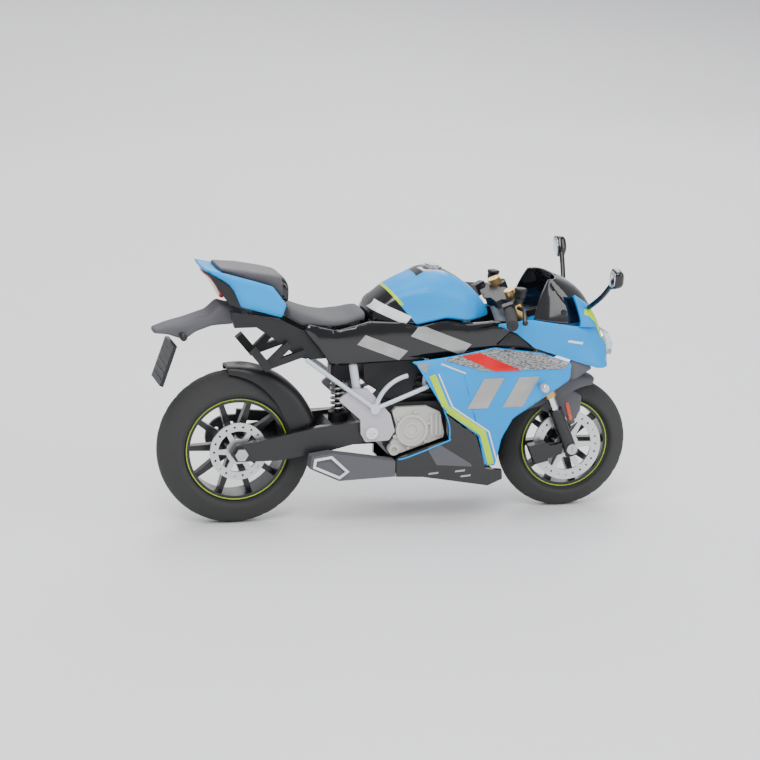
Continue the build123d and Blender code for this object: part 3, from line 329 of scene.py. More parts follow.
PILLION = Finish("pillion_cover", (0.055, 0.052, 0.062), (0.075, 0.072, 0.082), 0.48, 0.14,
                 effect=Effect.GRAIN, scale=1700, relief=0.03)
CLEAR = Finish("clear_lens", (0.85, 0.9, 0.94), (0.8, 0.86, 0.9), 0.04, 0.04, clear=0.85, scale=90)
LED_WHITE = Finish("led_white", (0.9, 0.92, 0.95), (1.0, 1.0, 1.0), 0.2, 0.05, glow=0.7, scale=200)
RED_LENS = Finish("red_lens", (0.36, 0.0, 0.004), (0.5, 0.004, 0.01), 0.14, 0.05, coat=0.7,
                  effect=Effect.HATCH, scale=900, relief=0.02)
RED_PRINT = Finish("red_print", (0.6, 0.0, 0.006), (0.66, 0.004, 0.012), 0.3, 0.06, coat=0.2, shine=0.3,
                   scale=200)
ORANGE_LENS = Finish("orange_reflector", (0.5, 0.05, 0.02), (0.62, 0.1, 0.03), 0.24, 0.08, coat=0.5,
                     effect=Effect.HATCH, scale=1100, relief=0.01)
SILVER_LENS = Finish("silver_lens", (0.55, 0.57, 0.6), (0.7, 0.72, 0.75), 0.12, 0.08, metal=0.6, coat=0.6,
                     scale=240)
SILVER_PRINT = Finish("silver_print", (0.33, 0.33, 0.32), (0.4, 0.4, 0.39), 0.3, 0.1, metal=0.4, coat=0.5,
                      scale=150)
WHITE_PRINT = Finish("white_print", (0.75, 0.77, 0.78), (0.68, 0.7, 0.72), 0.32, 0.08, coat=0.4, scale=150)
LIME = Finish("lime_print", (0.44, 0.7, 0.0), (0.5, 0.76, 0.0), 0.3, 0.06, coat=0.1, shine=0.3, scale=150)
HATCHED = Finish("hatched_silver", (0.4, 0.4, 0.4), (0.07, 0.07, 0.075), 0.34, 0.1, metal=0.35, coat=0.4,
                 effect=Effect.HATCH, scale=900)
BOARD = Finish("board_green", (0.008, 0.16, 0.045), (0.02, 0.26, 0.08), 0.3, 0.1, coat=0.4,
               effect=Effect.HATCH, scale=420)
SMOKE = Finish("smoked_screen", (0.004, 0.004, 0.006), (0.008, 0.008, 0.01), 0.1, 0.04, coat=0.9, scale=60)
MIRROR = Finish("mirror_face", (0.72, 0.75, 0.78), (0.66, 0.7, 0.74), 0.06, 0.04, metal=1.0, scale=80)


# --- mesh code shared by the sub-assemblies -----------------------------------------------------


def add_piece(name: str, mesh: bpy.types.Mesh, finishes: Sequence[Finish], body: str,
              nodes: Sequence[str] = ()) -> bpy.types.Object:
    """Makes a piece of a mesh: its materials, the body it rides on and what it stands for.

    Args:
        name: the piece's name.
        mesh: its mesh, in metres in the row frame.
        finishes: the finishes in the order of the mesh's material indices.
        body: the CAD body it rides on.
        nodes: the CAD nodes it replaces.

    Returns:
        The new piece.
    """
    piece = bpy.data.objects.new(name, mesh)
    bpy.context.scene.collection.objects.link(piece)
    for finish in finishes:
        mesh.materials.append(finish.make())
    for face in mesh.polygons:
        face.use_smooth = True
    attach(piece, body)
    if nodes:
        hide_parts(*nodes)
    return piece


def to_mesh(name: str, work: bmesh.types.BMesh) -> bpy.types.Mesh:
    """Turns a working mesh into a mesh with outward normals.

    Args:
        name: the mesh's name.
        work: the working mesh, freed here.

    Returns:
        The mesh.
    """
    bmesh.ops.remove_doubles(work, verts=work.verts, dist=0.002 * MM)
    bmesh.ops.recalc_face_normals(work, faces=work.faces)
    mesh = bpy.data.meshes.new(name)
    work.to_mesh(mesh)
    work.free()
    return mesh


def thicken(piece: bpy.types.Object, thick: float, edge: float = 0.25) -> None:
    """Gives a sheet its wall and rolls the edges of the wall.

    Args:
        piece: the sheet.
        thick: the wall, millimetres, inward.
        edge: the edges' radius, millimetres.
    """
    wall = piece.modifiers.new("wall", "SOLIDIFY")
    wall.thickness = thick * MM
    wall.offset = -1.0
    if edge:
        soften(piece, edge)


def soften(piece: bpy.types.Object, edge: float, angle: float = 40.0) -> None:
    """Rolls a piece's sharp edges.

    Args:
        piece: the piece.
        edge: the edges' radius, millimetres.
        angle: only edges sharper than this, degrees.
    """
    roll = piece.modifiers.new("edges", "BEVEL")
    roll.width = edge * MM
    roll.segments = 2
    roll.limit_method = "ANGLE"
    roll.angle_limit = math.radians(angle)
    roll.harden_normals = False


def refine(piece: bpy.types.Object, levels: int = 2) -> None:
    """Smooths a piece by subdivision."""
    smooth = piece.modifiers.new("smooth", "SUBSURF")
    smooth.levels = smooth.render_levels = levels


def settle(piece: bpy.types.Object) -> None:
    """Applies a piece's modifiers to its mesh."""
    graph = bpy.context.evaluated_depsgraph_get()
    shaped = bpy.data.meshes.new_from_object(piece.evaluated_get(graph), depsgraph=graph)
    piece.modifiers.clear()
    piece.data = shaped


def rounded(points: Sequence[Point], radius: float, parts: int = 3) -> list[Point]:
    """Rounds the corners of a closed outline.

    Args:
        points: the corners.
        radius: how far each corner is cut back, millimetres.
        parts: the number of pieces in each rounded corner.

    Returns:
        The outline with each corner drawn as a curve.
    """
    smooth: list[Point] = []
    for index, corner in enumerate(points):
        here = Vector(corner)
        before = Vector(points[index - 1]) - here
        after = Vector(points[(index + 1) % len(points)]) - here
        start = here + before.normalized() * min(radius, before.length * 0.45)
        end = here + after.normalized() * min(radius, after.length * 0.45)
        for part in range(parts + 1):
            share = part / parts
            bend = start * (1 - share) ** 2 + here * 2 * share * (1 - share) + end * share ** 2
            smooth.append((bend.x, bend.y))
    return smooth


def gridded(outline: Sequence[Point], step: float) -> bmesh.types.BMesh:
    """A flat outline filled with a grid, at y = 0 in millimetres.

    Args:
        outline: the outline's corners.
        step: the grid's pitch, millimetres.

    Returns:
        The working mesh.
    """
    work = bmesh.new()
    work.faces.new([work.verts.new((x, 0, z)) for x, z in outline])
    bmesh.ops.triangulate(work, faces=work.faces[:])
    for axis, values in ((0, [x for x, _ in outline]), (2, [z for _, z in outline])):
        normal = Vector((1, 0, 0)) if axis == 0 else Vector((0, 0, 1))
        count = max(1, round((max(values) - min(values)) / step))
        for index in range(1, count):
            place = min(values) + (max(values) - min(values)) * index / count
            bmesh.ops.bisect_plane(work, geom=work.verts[:] + work.edges[:] + work.faces[:],
                                   plane_co=normal * place, plane_no=normal, dist=0.0005)
    return work


def edge_distance(x: float, z: float, outline: Sequence[Point]) -> float:
    """How far a point is from an outline, millimetres."""
    here = Vector((x, z))
    best = math.inf
    for index, corner in enumerate(outline):
        start, end = Vector(outline[index - 1]), Vector(corner)
        along = end - start
        share = 0.0
        if along.length >= 1e-9:
            share = max(0.0, min(1.0, (here - start).dot(along) / along.length_squared))
        best = min(best, (here - start - along * share).length)
    return best


@dataclass
class Panel:
    """A moulded side panel: an outline in side view, crowned outward and rolled at its edges.

    Args:
        outline: the corners, in stations.
        width: the outer face's distance from the middle plane at a station, millimetres.
        thick: the wall.
        corner: the corners' radius.
        roll: how far the face falls at its edge.
        reach: how far in from the edge the fall begins.
        step: the grid's pitch.
    """

    outline: Sequence[Point]
    width: Width
    thick: float = 1.0
    corner: float = 0.8
    roll: float = 0.5
    reach: float = 1.8
    step: float = 1.3

    def mesh(self, name: str, sides: Sequence[int]) -> bpy.types.Mesh:
        """The panel's outer face, inner face and edges on the sides named.

        Args:
            name: the mesh's name.
            sides: 1 for the rider's left, -1 for the right.

        Returns:
            The mesh, in metres.
        """
        outline = rounded(self.outline, self.corner)
        whole = bmesh.new()
        for side in sides:
            work = gridded(outline, self.step)
            bmesh.ops.recalc_face_normals(work, faces=work.faces)
            rim = [edge.link_loops[0] for edge in work.edges if len(edge.link_faces) == 1]
            rim = [(loop.vert, loop.link_loop_next.vert) for loop in rim]
            faces, verts = work.faces[:], work.verts[:]
            back = {vert: work.verts.new(vert.co) for vert in verts}
            for face in faces:
                work.faces.new([back[vert] for vert in reversed(face.verts)])
            for start, end in rim:
                work.faces.new((end, start, back[start], back[end]))
            for vert in verts:
                x, z = vert.co.x, vert.co.z
                near = 1 - min(edge_distance(x, z, outline), self.reach) / self.reach
                fall = self.roll * (1 - math.sqrt(max(0.0, 1 - near * near)))
                face_y = self.width(x, z)
                vert.co = at(x, side * (face_y - fall), z)
                back[vert].co = at(x, side * (face_y - self.thick), z)
            part = bpy.data.meshes.new("part")
            work.to_mesh(part)
            work.free()
            whole.from_mesh(part)
            bpy.data.meshes.remove(part)
        mesh = bpy.data.meshes.new(name)
        bmesh.ops.recalc_face_normals(whole, faces=whole.faces)
        whole.to_mesh(mesh)
        whole.free()
        return mesh

    def build(self, name: str, side: int | None, finish: Finish, slot: str, nodes: Sequence[str],
              body: str = "chassis") -> bpy.types.Object:
        """Makes the panel a piece with a wall.

        Args:
            name: the piece's name.
            side: 1 or -1 for one side, None for both.
            finish: its finish.
            slot: not used.
            nodes: the CAD nodes it replaces.
            body: the body it rides on.

        Returns:
            The piece.
        """
        mesh = self.mesh(name, (1, -1) if side is None else (side,))
        return add_piece(name, mesh, [finish], body, nodes)


def loft(name: str, rings: Sequence[Sequence[Vector]], closed: bool, caps: bool) -> bpy.types.Mesh:
    """A mesh through a series of rings with the same number of points.

    Args:
        name: the mesh's name.
        rings: the rings, in metres.
        closed: whether each ring closes on itself.
        caps: whether the first and last rings are filled.

    Returns:
        The mesh.
    """
    work = bmesh.new()
    rows = [[work.verts.new(point) for point in ring] for ring in rings]
    count = len(rows[0])
    for low, high in zip(rows, rows[1:]):
        for index in range(count if closed else count - 1):
            after = (index + 1) % count
            work.faces.new((low[index], low[after], high[after], high[index]))
    if caps:
        work.faces.new(rows[0])
        work.faces.new(rows[-1][::-1])
    return to_mesh(name, work)


def between(x: float, points: Sequence[Point]) -> float:
    """A value read off a row of (place, value) points, smoothly between them."""
    if x <= points[0][0]:
        return points[0][1]
    for (start, low), (end, high) in zip(points, points[1:]):
        if x <= end:
            share = (x - start) / (end - start)
            return low + (high - low) * share
    return points[-1][1]


def super_ring(x: float, low: float, high: float, half: float, wide: float, power: float = 2.6,
               count: int = 28) -> list[Vector]:
    """A cross-section of a rounded body at one station.

    Args:
        x: the station.
        low: its lowest height.
        high: its highest height.
        half: its half width.
        wide: the height at which it is widest.
        power: how square it is; 2 is an ellipse.
        count: the number of points.

    Returns:
        The ring's points, in metres.
    """
    ring = []
    for index in range(count):
        turn = math.tau * (index + 0.5) / count
        across = math.copysign(abs(math.cos(turn)) ** (2 / power), math.cos(turn))
        up = math.copysign(abs(math.sin(turn)) ** (2 / power), math.sin(turn))
        ring.append(at(x, half * across, wide + up * ((high - wide) if up > 0 else (wide - low))))
    return ring


def revolve(name: str, profile: Sequence[Point], middle: Vector, axis: Vector,
            count: int = 64) -> bpy.types.Mesh:
    """A closed profile turned round an axis.

    Args:
        name: the mesh's name.
        profile: (along the axis, radius) points, millimetres.
        middle: a point on the axis, metres.
        axis: the axis's direction.
        count: the number of steps round.

    Returns:
        The mesh.
    """
    turn = axis.to_track_quat("Z", "X")
    rings = []
    for index in range(count):
        angle = math.tau * index / count
        rings.append([middle + turn @ Vector((r * math.cos(angle), r * math.sin(angle), along)) * MM
                      for along, r in profile])
    return loft(name, rings + [rings[0]], closed=True, caps=False)


def tube(name: str, points: Sequence[Vector], radius: float, count: int = 12) -> bpy.types.Mesh:
    """A round rod through a row of points.

    Args:
        name: the mesh's name.
        points: the middle line, metres.
        radius: the rod's radius, millimetres.
        count: the number of points round.

    Returns:
        The mesh, closed at both ends.
    """
    rings = []
    side = Vector((0.13, 0.97, 0.21))
    for index, point in enumerate(points):
        along = (points[min(index + 1, len(points) - 1)] - points[max(index - 1, 0)]).normalized()
        across = (side - along * side.dot(along)).normalized()
        third = along.cross(across)
        turns = [math.tau * part / count for part in range(count)]
        rings.append([point + (across * math.cos(turn) + third * math.sin(turn)) * radius * MM
                      for turn in turns])
    return loft(name, rings, closed=True, caps=True)


def smooth_line(points: Sequence[Vector], parts: int = 6) -> list[Vector]:
    """A smooth line through points.

    Args:
        points: the points, in order.
        parts: the number of steps between two points.

    Returns:
        The points of the line.
    """
    ends = [points[0] * 2 - points[1], *points, points[-1] * 2 - points[-2]]
    line = []
    for a, b, c, d in zip(ends, ends[1:], ends[2:], ends[3:]):
        for part in range(parts):
            t = part / parts
            line.append(0.5 * (2 * b + (c - a) * t + (2 * a - 5 * b + 4 * c - d) * t * t
                               + (3 * b - a - 3 * c + d) * t ** 3))
    return [*line, points[-1]]


def sticker(name: str, outline: Sequence[Point], hosts: Sequence[bpy.types.Object], side: int,
            finish: Finish,
            body: str = "chassis", lift: float = 0.09, step: float = 0.9) -> bpy.types.Object:
    """A printed patch laid on the outer face of other pieces.

    Args:
        name: the piece's name.
        outline: the patch in side view, in stations.
        hosts: the pieces it lies on.
        side: 1 for the rider's left, -1 for the right.
        finish: its finish.
        body: the body it rides on.
        lift: how far it stands off the surface, millimetres.
        step: the grid's pitch, millimetres.

    Returns:
        The piece.
    """
    graph = bpy.context.evaluated_depsgraph_get()
    trees = [BVHTree.FromObject(host, graph) for host in hosts]
    work = gridded(outline, step)
    missed = []
    toward = Vector((0, -side, 0))
    for vert in work.verts:
        start = at(vert.co.x, side * 60.0, vert.co.z)
        found = [hit[:2] for hit in (tree.ray_cast(start, toward) for tree in trees) if hit[0] is not None]
        if found:
            best, normal = max(found, key=lambda hit: hit[0].y * side)
            vert.co = best + normal * lift * MM * (1 if normal.y * side > 0 else -1)
        else:
            missed.append(vert)
    bmesh.ops.delete(work, geom=missed, context="VERTS")
    for face in work.faces:
        face.normal_update()
        if face.normal.y * side < 0:
            face.normal_flip()
    mesh = bpy.data.meshes.new(name)
    work.to_mesh(mesh)
    work.free()
    return add_piece(name, mesh, [finish], body)


def bar(x: float, z: float, long: float, wide: float, slope: float, lean: float = 90.0) -> list[Point]:
    """A slanted bar with cut ends, in side view.

    Args:
        x: its middle's station.
        z: its middle's height.
        long: its length.
        wide: its width.
        slope: its direction, degrees.
        lean: the angle of its ends to it, degrees.

    Returns:
        The four corners.
    """
    along = Vector((math.cos(math.radians(slope)), math.sin(math.radians(slope))))
    cut = Vector((math.cos(math.radians(slope + lean)), math.sin(math.radians(slope + lean))))
    cut *= wide / math.sin(math.radians(lean))
    middle = Vector((x, z))
    corners = [middle + along * long / 2 * a + cut / 2 * b for a, b in ((-1, -1), (1, -1), (1, 1), (-1, 1))]
    return [(corner.x, corner.y) for corner in corners]


def stripe(points: Sequence[Point], wide: float) -> list[Point]:
    """A stripe of even width along a bent line, in side view.

    Args:
        points: the middle line.
        wide: the stripe's width.

    Returns:
        Its outline.
    """
    left, right = [], []
    for index, point in enumerate(points):
        here = Vector(point)
        before = (here - Vector(points[index - 1])).normalized() if index else None
        after = (Vector(points[index + 1]) - here).normalized() if index + 1 < len(points) else None
        along = ((before or after) + (after or before)).normalized()
        cosine = along.dot(after or before)
        normal = Vector((-along.y, along.x)) * wide / 2 / max(cosine, 0.5)
        left.append((here.x + normal.x, here.y + normal.y))
        right.append((here.x - normal.x, here.y - normal.y))
    return left + right[::-1]


def dress(finish: Finish, *nodes: str) -> None:
    """Gives CAD nodes their finish.

    Args:
        finish: the finish.
        nodes: the nodes' names.
    """
    for node in nodes:
        piece = bpy.data.objects[node]
        piece.data.materials.clear()
        piece.data.materials.append(finish.make())


# --- tank ---------------------------------------------------------------------------------------


@dataclass
class Tank:
    """The fuel tank: a rounded casting, blue in front and black behind, with a black top.

    Args:
        half: not used.
        spine: its upper edge in side view.
        belly: its lower edge.
        girth: its half width along its length.
        power: how square its cross-section is.
        seam: the line where blue meets black on its side, as two stations.
    """

    half: float = 13.6
    spine: Sequence[Point] = ((-14.3, 71.2), (-12.5, 74.4), (-7.2, 78.5), (-2.0, 81.2), (2.1, 82.9),
                              (5.6, 84.6),
                              (9.5, 84.7), (13.3, 83.8), (18.0, 81.2), (22.8, 77.6), (25.7, 74.4),
                              (28.4, 70.3))
    belly: Sequence[Point] = ((-14.3, 68.4), (-9.0, 66.8), (2.1, 66.3), (11.6, 68.4), (19.5, 67.2),
                              (28.4, 68.4))
    girth: Sequence[Point] = ((-14.3, 6.5), (-12.0, 9.6), (-6.0, 11.6), (2.0, 13.2), (10.0, 13.6),
                              (18.0, 13.0), (22.0, 11.2), (25.5, 8.2), (28.4, 4.6))
    power: float = 2.7
    seam: Sequence[Point] = ((-8.4, 79.5), (1.4, 67.6))
    stripe: float = 1.0

    def build(self) -> list[bpy.types.Object]:
        """Builds the tank, its stripe, its top panel and its bars.

        Returns:
            The pieces.
        """
        body = self._body()
        pieces = [body]
        for side in (-1, 1):
            name = "right" if side < 0 else "left"
            pieces.append(sticker(f"tank_bar_{name}", bar(-6.8, 71.4, 12.0, 3.3, -24.0, 72.0), [body], side,
                                  WHITE_PRINT, lift=0.12, step=0.5))
        dress(STEEL, "fuel_cap")
        return pieces

    def _body(self) -> bpy.types.Object:
        """The tank's casting, cut along its colour lines.

        Returns:
            The piece.
        """
        rings = []
        start, end = self.spine[0][0], self.spine[-1][0]
        steps = 40
        for index in range(steps + 1):
            x = start + (end - start) * index / steps
            low, high = between(x, self.belly), between(x, self.spine)
            wide = low + (high - low) * 0.16
            ring = super_ring(x, low, high, between(x, self.girth), wide, self.power, 48)
            rings.append([self._scoop(point) for point in ring])
        mesh = loft("fuel_tank_shell", rings, closed=True, caps=True)
        piece = add_piece("fuel_tank_shell", mesh, [BLUE, GLOSS_BLACK, LIME], "chassis",
                          ["fuel_tank"])
        refine(piece, 1)
        settle(piece)
        self._paint(piece.data)
        return piece

    @staticmethod
    def _scoop(point: Vector) -> Vector:
        """Draws the knee recess and the long crease into the tank's side."""
        x, z = (point.x - MID) / MM, point.z / MM
        knee = math.exp(-((x + 1.0) / 8.5) ** 2 - ((z - 72.6) / 3.4) ** 2)
        crease = math.exp(-((x - 11.0) / 12.0) ** 2 - ((z - 77.6 + 0.12 * (x - 8.0)) / 1.5) ** 2)
        sign = 1.0 if point.y > 0 else -1.0
        inward = 1.5 * knee - 0.35 * crease
        if abs(point.y) > 3.0 * MM:
            point = Vector((point.x, point.y - sign * inward * MM, point.z))
        return point

    def _paint(self, mesh: bpy.types.Mesh) -> None:
        """Cuts the mesh along the colour lines and gives each part its material.

        Args:
            mesh: the tank's mesh.
        """
        work = bmesh.new()
        work.from_mesh(mesh)
        top, low = (Vector((MID + x * MM, 0, z * MM)) for x, z in self.seam)
        normal = (low - top).cross(Vector((0, 1, 0))).normalized()
        normal *= 1 if normal.x > 0 else -1

        def cut(place: Vector, way: Vector) -> None:
            """Cuts the whole mesh by a plane."""
            bmesh.ops.bisect_plane(work, geom=work.verts[:] + work.edges[:] + work.faces[:], plane_co=place,
                                   plane_no=way, dist=0.00001)

        cut(top, normal)
        cut(top + normal * self.stripe * MM, normal)
        stripe_end = at(0, 0, 74.0)
        cut(stripe_end, Vector((0, 0, 1)))
        back = at(2.6, 0, 0)
        cut(back, Vector((1, 0, 0)))
        edges = [(at(2.6, sign * 5.6, 0), Vector((0.06, sign, 0)).normalized()) for sign in (1, -1)]
        for place, way in edges:
            cut(place, way)
        for face in work.faces:
            spot = face.calc_center_median()
            ahead = (spot - top).dot(normal)
            inside = all((spot - place).dot(way) < 0 for place, way in edges)
            if ahead < 0 or (inside and spot.x > back.x and spot.z > 0.0735):
                face.material_index = 1
            elif ahead < self.stripe * MM and spot.z > stripe_end.z:
                face.material_index = 2
            else:
                face.material_index = 0
            face.smooth = True
        work.to_mesh(mesh)
        work.free()


# --- side fairings ------------------------------------------------------------------------------


@dataclass
class SideFairings:
    """The blue side fairings with their stripes, slanted bars and hatched strip.

    Args:
        outline: the panel's outline in stations.
        outer: the panel's outer face from the middle plane.
        strip: the hatched strip's outline.
    """

    outline: Sequence[Point] = ((-0.9, 55.7), (3.6, 52.9), (5.0, 51.4), (10.2, 39.2), (22.6, 29.7),
                                (25.2, 19.2),
                                (28.9, 19.0), (30.6, 28.6), (34.1, 35.3), (43.9, 41.5), (53.7, 47.8),
                                (54.4, 53.4), (44.0, 57.2), (28.0, 59.4), (14.0, 57.2))
    outer: float = 17.4
    strip: Sequence[Point] = ((9.6, 56.2), (14.0, 57.0), (28.0, 59.0), (44.0, 56.9), (53.4, 53.3),
                              (51.4, 51.9), (24.0, 52.0))
    accent: Sequence[Point] = ((5.9, 51.4), (10.9, 40.0), (23.8, 31.0), (27.4, 19.6))

    def _width(self, x: float, z: float) -> float:
        """The outer face's distance from the middle plane, with a crease under the strip."""
        drop = 2.4 * max(0.0, (z - 51.8) / 7.6) ** 1.15
        lower = 1.6 * max(0.0, (34.0 - z) / 16.0) ** 1.3
        back = 0.8 * max(0.0, (6.0 - x) / 8.0) ** 1.2
        return self.outer - drop - lower - back - 0.35 * math.exp(-((z - 51.6) / 0.9) ** 2)

    def build(self) -> list[bpy.types.Object]:
        """Builds both fairings and their graphics.

        Returns:
            The pieces.
        """
        pieces: list[bpy.types.Object] = []
        for side, name in ((-1, "right"), (1, "left")):
            panel = Panel(self.outline, self._width, thick=0.9, corner=1.0, roll=0.6, reach=1.6)
            shell = panel.build(f"side_fairing_shell_{name}", side, BLUE, "blue_plastic",
                                [f"side_fairing_{name}"])
            pieces += [shell, *self._graphics(shell, side, name)]
        return pieces

    def _graphics(self, shell: bpy.types.Object, side: int, name: str) -> list[bpy.types.Object]:
        """Lays the printed graphics on one fairing.

        Args:
            shell: the fairing.
            side: 1 for the rider's left, -1 for the right.
            name: the side's name.

        Returns:
            The pieces.
        """
        white = [(x + 2.1, z + 0.4) for x, z in self.accent]
        patches = [
            ("hatched", self.strip, HATCHED, 0.2),
            ("red", [(16.2, 57.0), (22.6, 57.9), (36.6, 51.9), (27.4, 51.95)], RED_PRINT, 0.3),
            ("lime", stripe(self.accent, 2.1), LIME, 0.11),
            ("white", stripe(white, 0.5), WHITE_PRINT, 0.11),
            ("dash", stripe([(9.0, 55.0), (17.4, 51.6)], 0.5), WHITE_PRINT, 0.11),
            ("corner", [(0.0, 55.3), (4.9, 55.2), (3.9, 51.9), (3.4, 52.4)], SILVER_PRINT, 0.11),
            ("bar_rear", bar(24.4, 44.6, 11.6, 6.2, 61.0, 119.0), SILVER_PRINT, 0.14),
            ("bar_front", bar(36.6, 44.6, 11.6, 6.2, 61.0, 119.0), SILVER_PRINT, 0.14),
        ]
        pieces = []
        for label, outline, finish, lift in patches:
            pieces.append(sticker(f"fairing_{label}_{name}", outline, [shell], side, finish,
                                  lift=lift, step=0.7))
        return pieces


# --- side panels --------------------------------------------------------------------------------


@dataclass
class SidePanels:
    """The glossy black side panels under the tank, with light slanted bars.

    Args:
        outline: the panel's outline in stations.
        outer: its outer face from the middle plane.
    """

    outline: Sequence[Point] = ((-36.4, 67.0), (-35.0, 69.0), (-25.8, 66.6), (-14.4, 69.4), (-4.0, 68.6),
                                (2.1, 67.2), (11.6, 68.8), (19.5, 67.2), (29.4, 68.0), (38.8, 67.0),
                                (42.6, 61.8),
                                (36.0, 58.6), (13.0, 57.0), (-0.4, 55.7), (-27.7, 54.7), (-29.0, 57.4))
    outer: float = 13.7

    def _width(self, x: float, z: float) -> float:
        """The outer face's distance from the middle plane, crowned along its middle."""
        middle = 62.0 + 0.03 * (x + 10)
        crown = ((z - middle) / 7.0) ** 2
        rear = 1.3 * max(0.0, (-18.0 - x) / 18.0) ** 1.4
        return self.outer - 0.7 * crown - rear + 0.1

    def build(self) -> list[bpy.types.Object]:
        """Builds both panels and their bars.

        Returns:
            The pieces.
        """
        pieces: list[bpy.types.Object] = []
        for side, name in ((-1, "right"), (1, "left")):
            panel = Panel(self.outline, self._width, thick=1.1, corner=1.2, roll=0.6, reach=1.8)
            shell = panel.build(f"side_panel_shell_{name}", side, GLOSS_BLACK, "black_gloss",
                                [f"side_panel_{name}"])
            pieces.append(shell)
            patches = [
                ("bar_rear", bar(-10.4, 60.6, 15.6, 3.9, -22.0, 70.0), 0.12),
                ("bar_front", bar(9.6, 62.4, 19.0, 4.6, -22.0, 70.0), 0.12)]
            for label, outline, lift in patches:
                pieces.append(sticker(f"panel_{label}_{name}", outline, [shell], side, SILVER_PRINT,
                                      lift=lift, step=0.8))
        dress(SATIN_BLACK, "sound_button")
        return pieces


# --- nose ---------------------------------------------------------------------------------------


@dataclass
class Nose:
    """The front cowl, windscreen, headlight and mirrors.

    Args:
        half: the cowl's half width.
        bend: the station where the cowl's plan begins to turn in.
        power: how square the plan is.
        levels: side-view lines of the cowl from its rear edge to its nose, lowest first.
        horns: side-view lines of the two raised horns beside the screen.
        screen: side-view lines of the windscreen from its rear edge to its middle, lowest first.
    """

    half: float = 15.5
    bend: float = 46.0
    power: float = 2.6
    levels: Sequence[Sequence[Point]] = (
        ((64.0, 51.0), (67.0, 50.9), (70.2, 51.2)),
        ((56.5, 53.6), (64.0, 53.2), (70.6, 53.6)),
        ((41.5, 58.9), (56.0, 57.6), (71.0, 57.4)),
        ((35.1, 64.1), (54.0, 61.4), (68.8, 60.8)),
        ((29.6, 67.3), (40.0, 67.6), (55.6, 64.6), (67.7, 63.2)),
        ((28.8, 67.4), (39.6, 68.6), (56.6, 65.5), (67.1, 64.4)),
    )
    horns: Sequence[Sequence[Point]] = (
        ((57.4, 65.5), (67.0, 64.5)),
        ((57.7, 67.4), (66.0, 66.8)),
        ((57.0, 70.4), (64.4, 69.6)),
        ((56.2, 73.2), (61.6, 72.6)),
        ((55.3, 75.8), (57.0, 75.3)),
    )
    screen: Sequence[Sequence[Point]] = (
        ((41.4, 68.0), (54.0, 65.4), (66.6, 67.0)),
        ((42.4, 71.6), (54.0, 70.4), (65.0, 70.8)),
        ((43.8, 75.6), (54.0, 75.0), (61.8, 75.4)),
        ((45.4, 79.0), (52.0, 78.9), (57.0, 79.0)),
        ((46.6, 81.0), (49.0, 81.2), (51.4, 81.4)),
    )

    def _plan(self, level: Sequence[Point], half: float, bend: float, sides: int, power: float,
              inner: float = 0.0) -> list[Vector]:
        """One level's line round the nose.

        Args:
            level: its side-view line from the rear to the nose.
            half: its half width.
            bend: the station where it turns in.
            sides: the number of points on a side.
            power: how square it is.
            inner: the line stops this far from the middle plane, for one side only.

        Returns:
            The points from the right side round to the left, or one side's when inner is given.
        """
        rear, tip = level[0][0], level[-1][0]
        bend = max(bend, rear)
        stop = math.pi / 2 if not inner else math.acos(min(1.0, (inner / half) ** (power / 2)))
        places = [(rear + (bend - rear) * index / sides, half) for index in range(sides)]
        for index in range(2 * sides + 1):
            turn = stop * index / (2 * sides)
            places.append((bend + (tip - bend) * math.sin(turn) ** (2 / power),
                           half * math.cos(turn) ** (2 / power)))
        right = [at(x, -y, between(x, level)) for x, y in places]
        if inner:
            return right
        left = [Vector((point.x, -point.y, point.z)) for point in right[:-1]]
        return right + left[::-1]

    def build(self) -> list[bpy.types.Object]:
        """Builds the nose.

        Returns:
            The pieces.
        """
        cowl = self._cowl()
        screen = self._screen()
        pieces = [cowl, screen, *self._graphics(cowl), *self._lamp(), *self._mirrors(), *self._infill()]
        return pieces

    def _cowl(self) -> bpy.types.Object:
        """The cowl's blue shell with its two horns."""
        work = bmesh.new()
        rings = [self._plan(level, self.half - 0.9 * (index < 1) - 0.5 * (index > 4), self.bend, 7,
                            self.power)
                 for index, level in enumerate(self.levels)]
        self.sew(work, rings)
        for sign in (1, -1):
            horn = []
            for index, level in enumerate(self.horns):
                half = self.half - 0.5 - 0.45 * index
                line = self._plan(level, half, level[0][0] - 6.0, 4, self.power, inner=10.6 - 0.2 * index)
                line = [point for point in line if (point.x - MID) / MM >= level[0][0] - 0.01]
                line = self._even(line, 12)
                horn.append([Vector((point.x, point.y * sign, point.z)) for point in line])
            self.sew(work, horn)
        mesh = to_mesh("front_cowl_shell", work)
        self._outward(mesh)
        piece = add_piece("front_cowl_shell", mesh, [BLUE], "chassis", ["front_cowl"])
        self._open_lamp(piece)
        thicken(piece, 1.2, 0.3)
        settle(piece)
        return piece

    @staticmethod
    def _even(line: Sequence[Vector], count: int) -> list[Vector]:
        """A line drawn again with a number of evenly spaced points."""
        lengths = [0.0]
        for start, end in zip(line, line[1:]):
            lengths.append(lengths[-1] + (end - start).length)
        even = []
        for index in range(count):
            want = lengths[-1] * index / (count - 1)
            for part in range(len(line) - 1):
                if want <= lengths[part + 1] + 1e-12:
                    span = max(lengths[part + 1] - lengths[part], 1e-12)
                    even.append(line[part].lerp(line[part + 1], (want - lengths[part]) / span))
                    break
        return even

    @staticmethod
    def sew(work: bmesh.types.BMesh, rings: Sequence[Sequence[Vector]]) -> None:
        """Joins open lines of equal length into faces."""
        rows = [[work.verts.new(point) for point in ring] for ring in rings]
        for low, high in zip(rows, rows[1:]):
            for a, b, c, d in zip(low, low[1:], high[1:], high):
                work.faces.new((a, b, c, d))

